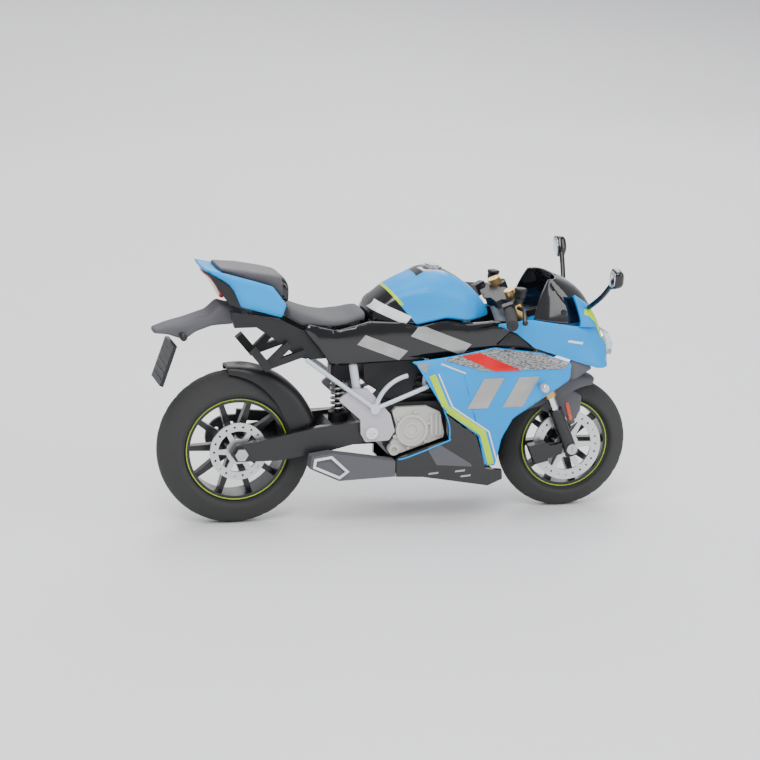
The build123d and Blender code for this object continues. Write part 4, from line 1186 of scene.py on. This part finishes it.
    @staticmethod
    def _outward(mesh: bpy.types.Mesh) -> None:
        """Turns every face away from the toy's middle."""
        work = bmesh.new()
        work.from_mesh(mesh)
        middle = at(40.0, 0, 62.0)
        for face in work.faces:
            face.normal_update()
            if face.normal.dot(face.calc_center_median() - middle) < 0:
                face.normal_flip()
        work.to_mesh(mesh)
        work.free()

    def _open_lamp(self, piece: bpy.types.Object) -> None:
        """Cuts the headlight's opening out of the nose."""
        work = bmesh.new()
        work.from_mesh(piece.data)
        low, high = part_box("headlight_lens")
        for place, way in ((Vector((0, low.y, 0)), Vector((0, 1, 0))),
                           (Vector((0, high.y, 0)), Vector((0, 1, 0))),
                           (Vector((0, 0, low.z)), Vector((0, 0, 1))),
                           (Vector((0, 0, high.z)), Vector((0, 0, 1)))):
            bmesh.ops.bisect_plane(work, geom=work.verts[:] + work.edges[:] + work.faces[:], plane_co=place,
                                   plane_no=way, dist=0.00001)
        gone = [face for face in work.faces
                if low.y < face.calc_center_median().y < high.y
                and low.z < face.calc_center_median().z < high.z
                and face.calc_center_median().x > low.x - 8 * MM]
        bmesh.ops.delete(work, geom=gone, context="FACES")
        work.to_mesh(piece.data)
        work.free()

    def _screen(self) -> bpy.types.Object:
        """The smoked windscreen."""
        rings = [self._plan(level, 14.0 - 0.75 * index, level[0][0] + 1.0, 3, 2.1)
                 for index, level in enumerate(self.screen)]
        work = bmesh.new()
        self.sew(work, rings)
        mesh = to_mesh("windscreen_shell", work)
        self._outward(mesh)
        piece = add_piece("windscreen_shell", mesh, [SMOKE], "chassis", ["windscreen"])
        thicken(piece, 0.8, 0.25)
        refine(piece, 1)
        settle(piece)
        return piece

    def _graphics(self, cowl: bpy.types.Object) -> list[bpy.types.Object]:
        """The lime swoosh and small plain marks on both sides."""
        pieces = []
        for side, name in ((-1, "right"), (1, "left")):
            swoosh = [(58.8, 71.2), (61.8, 70.4), (64.4, 67.6), (66.0, 63.8), (67.4, 59.4), (66.2, 60.6),
                      (64.6, 64.0), (62.6, 66.8), (60.4, 68.8), (58.8, 69.4)]
            marks = bar(56.0, 60.2, 5.6, 0.8, -12.0, 70.0)
            pieces.append(sticker(f"cowl_swoosh_{name}", swoosh, [cowl], side, LIME,
                                  lift=0.16, step=0.35))
            pieces.append(sticker(f"cowl_mark_{name}", marks, [cowl], side, WHITE_PRINT,
                                  step=0.6))
        return pieces

    def _lamp(self) -> list[bpy.types.Object]:
        """The headlight's reflector and its two LED domes."""
        low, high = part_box("headlight_lens")
        middle_z = (low.z + high.z) / 2 / MM
        rings = []
        for depth, grow in ((0.0, 0.0), (-2.4, -1.0), (-4.2, -2.6)):
            x = low.x + depth * MM
            corners = [(low.y, low.z), (high.y, low.z), (high.y, high.z), (low.y, high.z)]
            ring = []
            for y, z in rounded([(y / MM, z / MM) for y, z in corners], 2.4, 4):
                share = 1 + grow / 8.0
                ring.append(Vector((x, y * share * MM * 0.96, (middle_z + (z - middle_z) * share) * MM)))
            rings.append(ring)
        work = bmesh.new()
        rows = [[work.verts.new(point) for point in ring] for ring in rings]
        for first, second in zip(rows, rows[1:]):
            for index in range(len(first)):
                after = (index + 1) % len(first)
                work.faces.new((first[index], first[after], second[after], second[index]))
        work.faces.new(rows[-1])
        bowl = add_piece("headlight_bowl", to_mesh("headlight_bowl", work), [CHROME], "chassis")
        soften(bowl, 0.2)
        settle(bowl)
        dress(CLEAR, "headlight_lens")
        pieces = [bowl]
        for side, name in ((-1, "right"), (1, "left")):
            dome = [(0.0, 0.05), (0.0, 1.5), (3.6, 1.5), (4.5, 1.3), (5.1, 0.8), (5.3, 0.05)]
            mesh = revolve(f"headlight_led_{name}", dome, at(63.4, side * 4.0, 57.5), Vector((1, 0, 0)), 24)
            pieces.append(add_piece(f"headlight_led_{name}", mesh, [LED_WHITE], "chassis",
                                    ["headlight_leds"] if side < 0 else []))
        return pieces

    def _mirrors(self) -> list[bpy.types.Object]:
        """The two mirrors: a jointed stalk, a rounded head and a bright glass."""
        pieces = []
        for side, name in ((-1, "right"), (1, "left")):
            foot, elbow, neck = at(60.4, side * 12.9, 71.2), at(62.6, side * 20.6, 76.8), at(64.0,
                                                                                             side * 27.0,
                                                                                             82.8)
            stalk = add_piece(f"mirror_stalk_{name}",
                              tube(f"mirror_stalk_{name}", smooth_line([foot, elbow, neck]), 0.9),
                              [GLOSS_BLACK], "chassis", ["mirrors"] if side < 0 else [])
            refine(stalk, 1)
            settle(stalk)
            shape = rounded([(26.0, 83.4), (27.4, 80.4), (32.6, 82.0), (33.3, 87.2), (28.0, 88.1)], 1.3, 4)
            rings = []
            middle = (29.6, 84.3)
            for depth, share in ((-1.3, 0.86), (-1.1, 0.97), (0.2, 1.0), (1.3, 0.9), (1.9, 0.66),
                                 (2.2, 0.3)):
                rings.append([at(64.0 + depth, side * (middle[0] + (y - middle[0]) * share),
                                 middle[1] + (z - middle[1]) * share) for y, z in shape])
            head = add_piece(f"mirror_head_{name}", loft(f"mirror_head_{name}", rings, True, True),
                             [GLOSS_BLACK], "chassis")
            glass_rings = [[at(64.0 + depth, side * (middle[0] + (y - middle[0]) * share),
                               middle[1] + (z - middle[1]) * share) for y, z in shape]
                           for depth, share in ((-1.1, 0.8), (-1.42, 0.8), (-1.46, 0.4))]
            glass = add_piece(f"mirror_glass_{name}", loft(f"mirror_glass_{name}", glass_rings, True, True),
                              [MIRROR], "chassis")
            pieces += [stalk, head, glass]
        return pieces

    def _infill(self) -> list[bpy.types.Object]:
        """The dark pieces between the cowl and the side fairings."""
        pieces = []
        upper = Panel(((41.2, 58.4), (28.6, 60.0), (33.4, 64.4), (36.4, 64.6)), lambda x, z: 14.6,
                      thick=0.6, corner=0.6, roll=0.3, reach=0.8, step=1.5)
        lower = Panel(((51.6, 48.6), (55.6, 47.2), (62.6, 50.6), (60.6, 53.6), (54.8, 54.6)),
                      lambda x, z: 15.2 - 0.25 * max(0.0, x - 56.0), thick=0.9, corner=0.6, roll=0.3,
                      reach=0.8, step=1.5)
        for side, name in ((-1, "right"), (1, "left")):
            pieces.append(upper.build(f"cowl_infill_{name}", side, SATIN_BLACK, "black_matte", []))
            pieces.append(lower.build(f"cowl_root_{name}", side, DARK_GREY, "dark_grey", []))
        dress(SATIN_BLACK, "instrument_panel")
        return pieces


# --- seats and tail -----------------------------------------------------------------------------


@dataclass
class SeatsAndTail:
    """The rider's and pillion's seats, the tail cowl, its lamp and the plate holder.

    Args:
        seat_top: the rider's seat's upper edge.
        seat_low: its lower edge.
        seat_half: its half width along its length.
        pad_half: the pillion pad's half width.
        tail: the tail cowl's outline.
        tail_half: its half width.
    """

    seat_top: Sequence[Point] = ((-41.6, 73.6), (-39.6, 74.1), (-34.1, 71.9), (-30.0, 70.6), (-26.3, 70.0),
                                 (-21.0, 70.4), (-17.0, 71.5), (-14.6, 71.7))
    seat_low: Sequence[Point] = ((-41.6, 70.4), (-36.2, 67.4), (-25.8, 67.0), (-14.6, 68.4))
    seat_half: Sequence[Point] = ((-41.6, 8.6), (-38.0, 10.6), (-30.0, 11.4), (-22.0, 11.0), (-14.6, 8.4))
    pad_half: float = 9.6
    tail: Sequence[Point] = ((-69.4, 87.9), (-60.1, 85.6), (-52.0, 83.4), (-47.0, 81.8), (-42.4, 75.7),
                             (-43.9, 71.4),
                             (-50.0, 73.2), (-55.3, 74.6), (-57.2, 75.0), (-59.0, 79.6), (-61.4, 83.0),
                             (-68.8, 86.9))
    tail_half: float = 13.0

    def build(self) -> list[bpy.types.Object]:
        """Builds the seats, tail and plate holder.

        Returns:
            The pieces.
        """
        return [self._rider(), *self._pillion(), *self._tail(), *self._lamp(), *self._holder()]

    def _rider(self) -> bpy.types.Object:
        """The rider's seat pad."""
        rings = []
        for index in range(25):
            x = self.seat_top[0][0] + (self.seat_top[-1][0] - self.seat_top[0][0]) * index / 24
            low, high = between(x, self.seat_low), between(x, self.seat_top)
            rings.append(super_ring(x, low, high, between(x, self.seat_half), low + 0.45 * (high - low),
                                    3.2, 28))
        piece = add_piece("rider_seat_pad", loft("rider_seat_pad", rings, True, True), [SEAT], "chassis",
                          ["rider_seat"])
        refine(piece, 1)
        settle(piece)
        return piece

    def _pillion(self) -> list[bpy.types.Object]:
        """The pillion pad with its glossy front face."""
        top = ((-64.3, 88.0), (-56.0, 87.2), (-48.0, 85.8), (-43.6, 84.8), (-41.6, 83.4), (-40.7, 81.6))
        low = ((-64.3, 86.2), (-56.0, 83.0), (-46.4, 79.6), (-43.4, 75.2), (-40.7, 75.0))
        rings = []
        for index in range(25):
            x = top[0][0] + (top[-1][0] - top[0][0]) * index / 24
            bottom, roof = between(x, low), between(x, top)
            half = self.pad_half - 2.6 * max(0.0, (-54.0 - x) / 10.0) ** 1.5
            rings.append(super_ring(x, bottom, roof, half, bottom + 0.55 * (roof - bottom), 3.4, 28))
        piece = add_piece("pillion_pad", loft("pillion_pad", rings, True, True), [PILLION, GLOSS_BLACK],
                          "chassis", ["pillion_seat"])
        work = bmesh.new()
        work.from_mesh(piece.data)
        front = at(-43.4, 0, 0)
        bmesh.ops.bisect_plane(work, geom=work.verts[:] + work.edges[:] + work.faces[:], plane_co=front,
                               plane_no=Vector((1, 0, 0)), dist=0.00001)
        for face in work.faces:
            face.material_index = 1 if face.calc_center_median().x > front.x else 0
        work.to_mesh(piece.data)
        work.free()
        refine(piece, 1)
        settle(piece)
        return [piece]

    def _tail(self) -> list[bpy.types.Object]:
        """The tail cowl's two blue sides and its rear lip."""

        def width(x: float, z: float) -> float:
            """The outer face narrows to the rear and has a crease along its middle."""
            rear = max(0.0, (-50.0 - x) / 20.0)
            crease = 81.0 - 0.42 * (x + 60.0) * 1.0
            fold = max(0.0, crease - z - 1.0) * 0.22
            return self.tail_half - 4.4 * rear ** 1.5 - fold

        panel = Panel(self.tail, width, thick=1.6, corner=0.7, roll=0.9, reach=1.6, step=1.1)
        sides = panel.build("tail_cowl_sides", None, BLUE, "blue_plastic", ["tail_cowl"])
        rows = []
        for x, z, half in ((-69.4, 87.7, 8.0), (-67.4, 87.3, 8.9), (-65.2, 86.9, 9.6), (-62.6, 86.2, 10.4)):
            rows.append(super_ring(x, z - 1.0, z + 0.2, half, z - 0.4, 4.0, 20))
        lip = add_piece("tail_cowl_lip", loft("tail_cowl_lip", rows, True, True), [BLUE], "chassis")
        refine(lip, 1)
        settle(lip)
        return [sides, lip]

    def _lamp(self) -> list[bpy.types.Object]:
        """The dark tail housing and the red lamp at its back."""

        def width(x: float, z: float) -> float:
            """The housing narrows to the rear."""
            return 11.4 - 3.0 * max(0.0, (-52.0 - x) / 17.0)

        housing = Panel(((-68.6, 86.6), (-59.4, 82.8), (-54.4, 77.0), (-53.4, 72.8), (-60.8, 75.6),
                         (-63.4, 80.6)), width,
                        thick=1.2, corner=0.5, roll=0.5, reach=1.0, step=1.0)
        pieces = [housing.build("tail_housing", None, SATIN_BLACK, "black_matte", [])]
        rings = []
        for x, z, half in ((-68.4, 86.1, 6.2), (-66.0, 84.2, 7.2), (-64.6, 82.0, 7.4), (-63.0, 79.0, 7.0),
                           (-61.9, 76.8, 6.0)):
            ring = []
            for index in range(20):
                turn = math.tau * index / 20
                ring.append(at(x + 0.9 * math.sin(turn), half * math.cos(turn), z + 0.5 * math.sin(turn)))
            rings.append(ring)
        lamp = add_piece("tail_lamp", loft("tail_lamp", rings, True, True), [RED_LENS], "chassis",
                         ["tail_light"])
        refine(lamp, 1)
        settle(lamp)
        return [*pieces, lamp]

    def _holder(self) -> list[bpy.types.Object]:
        """The plate holder's arm and a ribbed plate."""
        top = ((-84.6, 66.9), (-80.0, 68.4), (-72.0, 70.4), (-66.4, 72.2), (-63.0, 75.6), (-60.0, 74.6),
               (-55.0, 73.0))
        low = ((-84.6, 65.6), (-80.0, 65.2), (-74.6, 63.2), (-71.1, 65.9), (-66.0, 67.6), (-60.0, 67.8),
               (-55.0, 68.2))
        rings = []
        for index in range(31):
            x = -84.6 + 29.6 * index / 30
            bottom, roof = between(x, low), between(x, top)
            half = 4.8 + 1.2 * math.exp(-((x + 70.0) / 9.0) ** 2) - 1.4 * max(0.0, (-78.0 - x) / 6.6)
            rings.append(super_ring(x, bottom, roof, half, (bottom + roof) / 2, 4.0, 24))
        arm = add_piece("plate_holder_arm", loft("plate_holder_arm", rings, True, True), [DARK_GREY],
                        "chassis", ["plate_holder"])
        refine(arm, 1)
        settle(arm)
        dress(SATIN_BLACK, "number_plate")
        low_corner, high_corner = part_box("number_plate")
        foot = Vector((low_corner.x + 0.7 * MM, 0, low_corner.z + 2.2 * MM))
        ribs = []
        for index in range(5):
            lift = foot + Vector((0.38, 0, 1.0)) * index * 2.2 * MM
            half = high_corner.y * 0.82
            line = [Vector((lift.x - 0.25 * MM, -half, lift.z)), Vector((lift.x - 0.25 * MM, half, lift.z))]
            rib = add_piece(f"plate_rib_{index}", tube(f"plate_rib_{index}", line, 0.22, 8), [DARK_GREY],
                            "chassis")
            ribs.append(rib)
        return [arm, *ribs]


# --- wheels -------------------------------------------------------------------------------------


class WheelEnd(Enum):
    """Which wheel a set of wheel details belongs to."""

    FRONT = "front"
    REAR = "rear"


# The tread: the grooves' depth in millimetres, and how far they lean by the tyre's edge in radians.
GROOVE_DEPTH = 0.22
GROOVE_SLANT = 4.2


@dataclass
class Wheel:
    """One wheel's looks: tyre with grooves, rim with its lime line, drilled disc.

    Args:
        end: which wheel.
        radius: the tyre's radius.
        half: its half width.
        bead: the radius where the tyre meets the rim.
        line: the radius of the lime line on the rim.
        grooves: the number of tread grooves round the tyre.
    """

    end: WheelEnd
    radius: float
    half: float
    bead: float
    line: float
    grooves: int = 30

    def build(self) -> list[bpy.types.Object]:
        """Builds the wheel's pieces and dresses its CAD nodes.

        Returns:
            The pieces.
        """
        name = self.end.value
        axle = FRONT_AXLE if self.end is WheelEnd.FRONT else REAR_AXLE
        body = f"{name}_wheel"
        profile = self._section()
        tyre = add_piece(f"{name}_tyre_tread", self._carcass(f"{name}_tyre_tread", profile, axle), [RUBBER],
                         body, [f"{name}_tyre"])
        dress(CAST_BLACK, f"{name}_rim")
        dress(DISC_STEEL, f"{name}_disc")
        pieces = [tyre]
        lip = [vert.co for vert in bpy.data.objects[f"{name}_rim"].data.vertices
               if math.hypot(vert.co.x - axle.x, vert.co.z - axle.z) > (self.bead - 0.8) * MM]
        flank = max(place.y for place in lip) / MM
        for side, label in ((1, "left"), (-1, "right")):
            ring = [(side * (flank + 0.02), self.line - 0.14), (side * (flank + 0.07), self.line - 0.11),
                    (side * (flank + 0.07), self.line + 0.11), (side * (flank + 0.02), self.line + 0.14)]
            mesh = revolve(f"{name}_rim_line_{label}", ring, axle, Vector((0, 1, 0)), 96)
            pieces.append(add_piece(f"{name}_rim_line_{label}", mesh, [LIME], body))
        return pieces

    def _section(self) -> list[Point]:
        """The tyre's closed cross-section as (across, radius) points."""
        outer = []
        crown = self.half * 1.02
        for index in range(25):
            turn = math.pi * (index / 24 - 0.5)
            across = self.half * math.sin(turn)
            fall = abs(math.sin(turn)) ** 2.6
            outer.append((across, self.radius - fall * crown * 0.92))
        low = self.bead + 0.1
        flank = self.half * 0.78
        side = [(self.half * 0.985, self.radius - crown * 1.2), (flank, low + 0.9), (flank * 0.94, low)]
        return [(-across, r) for across, r in reversed(side)] + outer + side

    def _carcass(self, name: str, profile: Sequence[Point], axle: Vector) -> bpy.types.Mesh:
        """The tyre's mesh with slanted tread grooves pressed into its crown.

        Args:
            name: the mesh's name.
            profile: the cross-section.
            axle: the wheel's middle.

        Returns:
            The mesh.
        """
        count = self.grooves * 8
        rings = []
        for index in range(count):
            ring = []
            for across, r in profile:
                angle = math.tau * index / count
                share = abs(across) / self.half
                slant = angle * self.grooves + share * GROOVE_SLANT
                grooved = 0.2 < share < 0.86 and r > self.radius - self.half
                groove = max(0.0, math.cos(slant)) ** 6 if grooved else 0.0
                depth = r - GROOVE_DEPTH * groove
                ring.append(axle + Vector((depth * math.cos(angle), across, depth * math.sin(angle))) * MM)
            rings.append(ring)
        return loft(name, rings + [rings[0]], closed=True, caps=False)


# --- fork, bars and engine ----------------------------------------------------------------------


@dataclass
class Band:
    """A crowned band that follows a tyre, with skirts down its sides.

    Args:
        axle: the wheel's middle, metres.
        inner: the band's inner radius.
        half: not used.
        turns: the angles from straight ahead at which the next two are given, degrees.
        halves: its half width at each.
        skirts: how far its skirts reach down at each.
        thick: its wall.
    """

    axle: Vector
    inner: float
    half: float
    turns: Sequence[float]
    halves: Sequence[float]
    skirts: Sequence[float]
    thick: float = 0.7

    def build(self, name: str, finish: Finish, slot: str, body: str,
              nodes: Sequence[str]) -> bpy.types.Object:
        """Makes the band.

        Args:
            name: the piece's name.
            finish: its finish.
            slot: not used.
            body: the body it rides on.
            nodes: the CAD nodes it replaces.

        Returns:
            The piece.
        """
        rings = []
        steps = 36
        for index in range(steps + 1):
            turn = self.turns[0] + (self.turns[-1] - self.turns[0]) * index / steps
            half = between(turn, list(zip(self.turns, self.halves)))
            skirt = between(turn, list(zip(self.turns, self.skirts)))
            ring = []
            for part in range(-10, 11):
                share = part / 10
                bend = abs(share) ** 2.8
                radius = self.inner + self.thick + 0.6 - bend * (0.6 + skirt)
                across = half * (math.sin(min(abs(share) * 1.25, 1.0) * math.pi / 2))
                across *= 1 if share > 0 else -1
                angle = math.radians(turn)
                ring.append(self.axle + Vector((radius * math.cos(angle), across if part else 0.0,
                                                radius * math.sin(angle))) * MM)
            rings.append(ring)
        work = bmesh.new()
        Nose.sew(work, rings)
        mesh = to_mesh(name, work)
        work = bmesh.new()
        work.from_mesh(mesh)
        for face in work.faces:
            face.normal_update()
            if face.normal.dot(face.calc_center_median() - self.axle) < 0:
                face.normal_flip()
        work.to_mesh(mesh)
        work.free()
        piece = add_piece(name, mesh, [finish], body, nodes)
        thicken(piece, self.thick, 0.12)
        settle(piece)
        return piece


@dataclass
class ForkAndBars:
    """The fork, fender, clip-on bars, levers and small parts on them.

    Args:
        grip_start: where the right grip begins, as fork coordinates.
        grip_end: where it ends.
        grip_r: its radius.
    """

    grip_start: tuple[float, float, float] = (-5.0, 20.2, 56.0)
    grip_end: tuple[float, float, float] = (-8.0, 31.3, 55.2)
    grip_r: float = 1.95

    def build(self) -> list[bpy.types.Object]:
        """Builds the small parts and dresses the CAD nodes.

        Returns:
            The pieces.
        """
        dress(GOLD, "fork_outer_tubes")
        dress(CHROME, "fork_inner_tubes")
        dress(CAST_BLACK, "fork_feet", "lower_clamp", "front_caliper")
        dress(SATIN_BLACK, "handlebars", "hand_levers")
        dress(STEEL, "front_axle")
        pieces = []
        for side, name in ((-1, "right"), (1, "left")):
            start, end = (on_fork(a, side * y, u) for a, y, u in (self.grip_start, self.grip_end))
            axis = end - start
            long = axis.length / MM
            profile = [(0.0, 0.9)]
            ribs = 14
            for index in range(ribs):
                along = long * (index + 0.15) / ribs
                profile += [(along, self.grip_r), (along + long * 0.5 / ribs, self.grip_r),
                            (along + long * 0.6 / ribs, self.grip_r - 0.16),
                            (along + long * 0.9 / ribs, self.grip_r - 0.16)]
            profile += [(long, self.grip_r * 0.98), (long + 0.3, 1.2), (long + 0.3, 0.9)]
            mesh = revolve(f"grip_{name}", profile, start, axis.normalized(), 28)
            pieces.append(add_piece(f"grip_{name}", mesh, [RUBBER], "steering"))
            cup = on_fork(1.5, side * 15.4, 59.0)
            cup_profile = [(-1.4, 0.05), (-1.4, 1.6), (-0.9, 1.9), (1.0, 1.9), (1.1, 2.1), (1.6, 2.1),
                           (1.9, 1.7), (1.9, 0.05)]
            mesh = revolve(f"reservoir_{name}", cup_profile, cup, Vector((0.1, 0, 1)).normalized(), 28)
            pieces.append(add_piece(f"reservoir_{name}", mesh, [SATIN_BLACK], "steering"))
            arm = tube(f"reservoir_arm_{name}", smooth_line([cup - Vector((0, 0, 1.2)) * MM,
                                                             on_fork(-0.6, side * 15.6, 56.6)]), 0.55)
            pieces.append(add_piece(f"reservoir_arm_{name}", arm, [SATIN_BLACK], "steering"))
        return pieces + [self._fender()] + self._reflectors()

    @staticmethod
    def _fender() -> bpy.types.Object:
        """The front fender: a crowned band over the tyre with side plates down to the fork feet."""
        band = Band(FRONT_AXLE, FRONT_R + 1.0, 6.7, (66.0, 84.0, 104.0, 126.0, 148.0),
                    (4.6, 6.2, 6.7, 6.6, 5.6), (2.2, 5.4, 9.0, 7.0, 3.4))
        piece = band.build("front_fender_shell", DARK_GREY, "dark_grey", "fork_lower", ["front_fender"])
        plate = Panel(((46.6, 35.6), (50.6, 40.4), (57.2, 42.2), (61.8, 39.6), (61.4, 34.0), (59.6, 29.8),
                       (57.2, 29.4), (55.2, 33.0), (51.6, 33.4)), lambda x,
                      z: 6.8 - 0.2 * max(0.0, (z - 38.0)),
                      thick=0.6, corner=1.0, roll=0.4, reach=1.0, step=1.2)
        plate.build("front_fender_plates", None, DARK_GREY, "dark_grey", [], "fork_lower")
        return piece

    @staticmethod
    def _reflectors() -> list[bpy.types.Object]:
        """The small orange reflectors on the fender's sides."""
        pieces = []
        for side, name in ((-1, "right"), (1, "left")):
            y = side * 6.9
            shape = rounded(stripe([(56.3, 37.6), (58.0, 31.2)], 1.3), 0.5, 3)
            rings = [[at(x, y + side * lift, z) for x, z in shape] for lift in (-0.5, 0.25)]
            mesh = loft(f"fender_reflector_{name}", rings, True, True)
            piece = add_piece(f"fender_reflector_{name}", mesh, [ORANGE_LENS], "fork_lower")
            soften(piece, 0.15)
            settle(piece)
            pieces.append(piece)
        return pieces


@dataclass
class EngineAndFrame:
    """The engine, frame, belly pan, exhaust and the swingarm's parts.

    Args:
        opening: the fairing opening's edge, in stations, drawn in light blue.
        painted_sheen_patch: a grey patch on the gloss black belly pan, painted reflection where its facet
            catches the light.
        liner: the dark lining behind the fairing's rear edge.
    """

    opening: Sequence[Point] = ((10.4, 39.4), (12.4, 34.0), (12.6, 29.4), (11.8, 28.4), (-1.6, 23.6),
                                (-5.0, 23.0))
    # The grey patch is painted reflection on the gloss black belly pan, where its facet catches the light.
    painted_sheen_patch: Sequence[Point] = ((5.4, 25.6), (8.4, 28.0), (20.4, 20.2), (20.6, 19.3), (8.4, 20.4))
    liner: Sequence[Point] = ((14.0, 36.0), (24.4, 31.0), (26.6, 19.6), (22.6, 18.6), (18.0, 26.0),
                              (12.0, 32.0))

    def build(self) -> list[bpy.types.Object]:
        """Builds the trim and dresses the CAD nodes.

        Returns:
            The pieces.
        """
        dress(FRAME_SILVER, "main_frame")
        dress(PLATE_GREY, "pivot_plates")
        dress(CHROME, "pivot_bolt")
        dress(ENGINE_SILVER, "clutch_cover", "alternator_cover")
        dress(SATIN_BLACK, "engine_block", "radiator", "rear_subframe", "shock_body", "side_stand",
              "battery_box", "pillion_pegs", "speaker")
        dress(CAST_BLACK, "swingarm")
        dress(DARK_GREY, "exhaust", "chain")
        dress(CHROME, "muffler_end_ring")
        dress(STEEL, "rear_axle", "shock_spring", "cover_screws", "button_cells")
        dress(BOARD, "circuit_board")
        dress(GLOSS_BLACK, "belly_pan")
        band = Band(REAR_AXLE, REAR_R + 0.7, 8.4, (19.0, 36.0, 58.0, 80.0, 97.0), (8.3, 8.4, 8.2, 7.0, 4.6),
                    (9.0, 9.0, 6.6, 3.6, 2.0))
        pieces = [band.build("rear_hugger_shell", SATIN_BLACK, "black_matte", "swingarm", ["rear_hugger"])]
        pan = bpy.data.objects["belly_pan"]
        pieces += self._signals()
        for side, name in ((-1, "right"), (1, "left")):
            line = smooth_line([at(x, side * 16.25, z) for x, z in self.opening], 4)
            edge = add_piece(f"fairing_edging_{name}", tube(f"fairing_edging_{name}", line, 0.26, 8),
                             [BLUE], "chassis")
            pieces.append(edge)
            liner = Panel(self.liner, lambda x, z: 15.3, thick=0.6, corner=0.4, roll=0.1, reach=0.4,
                          step=2.0)
            pieces.append(liner.build(f"fairing_liner_{name}", side, GLOSS_BLACK, "black_gloss", []))
            # A grey sticker on the belly pan: painted reflection of the light its facet catches, not a grey
            # part.
            pieces.append(sticker(f"belly_painted_sheen_{name}", self.painted_sheen_patch, [pan], side, DARK_GREY))
            for index, place in enumerate(((7.4, 17.6), (16.6, 18.0), (18.6, 16.2))):
                mark = bar(*place, 3.4, 0.6, 4.0, 65.0)
                pieces.append(sticker(f"belly_mark_{index}_{name}", mark, [pan], side, SILVER_PRINT,
                                      step=0.6))
        return pieces

    @staticmethod
    def _signals() -> list[bpy.types.Object]:
        """The turn signals: silver stalks in the fairings and dark ones under the plate holder."""
        pieces = []
        for side, name in ((-1, "right"), (1, "left")):
            for label, place, reach, r, finish in (("front", (43.5, 17.0, 46.6), 6.4, 1.5, SILVER_LENS),
                                                   ("rear", (-75.8, 4.2, 65.4), 6.2, 1.2, SATIN_BLACK)):
                shape = [(0.0, 0.05), (0.0, r * 0.8), (reach * 0.4, r * 0.82), (reach * 0.46, r * 0.98),
                         (reach * 0.86, r), (reach * 0.96, r * 0.7), (reach, 0.05)]
                foot = at(place[0], side * place[1], place[2])
                mesh = revolve(f"signal_{label}_{name}", shape, foot, Vector((0, side, 0)), 28)
                first = side < 0 and label == "front"
                pieces.append(add_piece(f"signal_{label}_{name}", mesh, [finish], "chassis",
                                        ["turn_signals"] if first else []))
        return pieces


# --- stage --------------------------------------------------------------------------------------


@dataclass
class Studio:
    """The floor, lights and camera.

    Args:
        eye: the camera's place, millimetres from the row's origin.
        aim: the point it looks at.
        roll: its roll, degrees.
        lens: its focal length on a 36 mm sensor.
    """

    eye: tuple[float, float, float] = (-232.5, -855.2, 262.0)
    aim: tuple[float, float, float] = (-14.2, -35.4, 55.2)
    roll: float = 1.25
    lens: float = 129.05

    def build(self) -> None:
        """Builds the stage round the toy."""
        self._floor()
        self._lights()
        self._camera()

    @staticmethod
    def _floor() -> None:
        """A pale floor that curves up behind the toy."""
        rows = []
        for back, up in ((-1.6, 0.0), (-0.4, 0.0), (0.9, 0.0), (1.25, 0.06), (1.5, 0.25), (1.6, 0.6),
                         (1.6, 1.8)):
            rows.append([Vector((-2.4 + 4.8 * index / 8, back, up)) for index in range(9)])
        mesh = loft("floor", rows, closed=False, caps=False)
        floor = bpy.data.objects.new("floor", mesh)
        bpy.context.scene.collection.objects.link(floor)
        paper = Finish("floor_paper", (0.8, 0.8, 0.81), (0.78, 0.78, 0.79), 0.75, 0.05, scale=3)
        mesh.materials.append(paper.make())
        for face in mesh.polygons:
            face.use_smooth = True

    @staticmethod
    def _lights() -> None:
        """Broad soft lights and an even surround."""
        world = bpy.data.worlds.new("surround")
        world.use_nodes = True
        world.node_tree.nodes["Background"].inputs["Color"].default_value = (0.93, 0.95, 1.0, 1.0)
        world.node_tree.nodes["Background"].inputs["Strength"].default_value = 0.5
        bpy.context.scene.world = world
        for name, place, size, power in (("key", (-0.35, -0.8, 0.95), 0.7, 13.0),
                                         ("fill", (0.9, -0.7, 0.5), 0.8, 6.0),
                                         ("top", (0.0, 0.15, 1.1), 0.9, 9.0),
                                         ("rim", (0.3, 0.9, 0.7), 0.6, 6.0)):
            data = bpy.data.lights.new(name, "AREA")
            data.shape = "SQUARE"
            data.size = size
            data.energy = power
            lamp = bpy.data.objects.new(name, data)
            lamp.location = place
            lamp.rotation_euler = (Vector((0, 0, 0.04)) - Vector(place)).to_track_quat("-Z", "Y").to_euler()
            bpy.context.scene.collection.objects.link(lamp)

    def _camera(self) -> None:
        """The camera, on the toy's right side and a little behind it."""
        data = bpy.data.cameras.new("camera")
        data.lens = self.lens
        data.sensor_width = 36.0
        data.clip_start, data.clip_end = 0.01, 20.0
        camera = bpy.data.objects.new("camera", data)
        eye, aim = Vector(self.eye) * MM, Vector(self.aim) * MM
        look = (aim - eye).to_track_quat("-Z", "Y").to_matrix().to_4x4()
        camera.matrix_world = Matrix.Translation(eye) @ look @ Matrix.Rotation(math.radians(self.roll), 4,
                                                                               "Z")
        bpy.context.scene.collection.objects.link(camera)
        bpy.context.scene.camera = camera


def main() -> None:
    """Builds every sub-assembly in order and reports its pieces."""
    logging.basicConfig(level=logging.INFO, format="%(message)s")
    parts = {
        "tank": Tank(), "side fairings": SideFairings(), "side panels": SidePanels(), "nose": Nose(),
        "seats and tail": SeatsAndTail(),
        "front wheel": Wheel(WheelEnd.FRONT, FRONT_R, 5.25, 15.4, 15.0, 26),
        "rear wheel": Wheel(WheelEnd.REAR, REAR_R, 6.6, 17.4, 17.0, 28),
        "fork and bars": ForkAndBars(), "engine and frame": EngineAndFrame(),
    }
    for name, part in parts.items():
        for piece in part.build():
            LOG.info("%s: %s", name, piece.name)
    Studio().build()


if __name__ == "__main__":
    main()
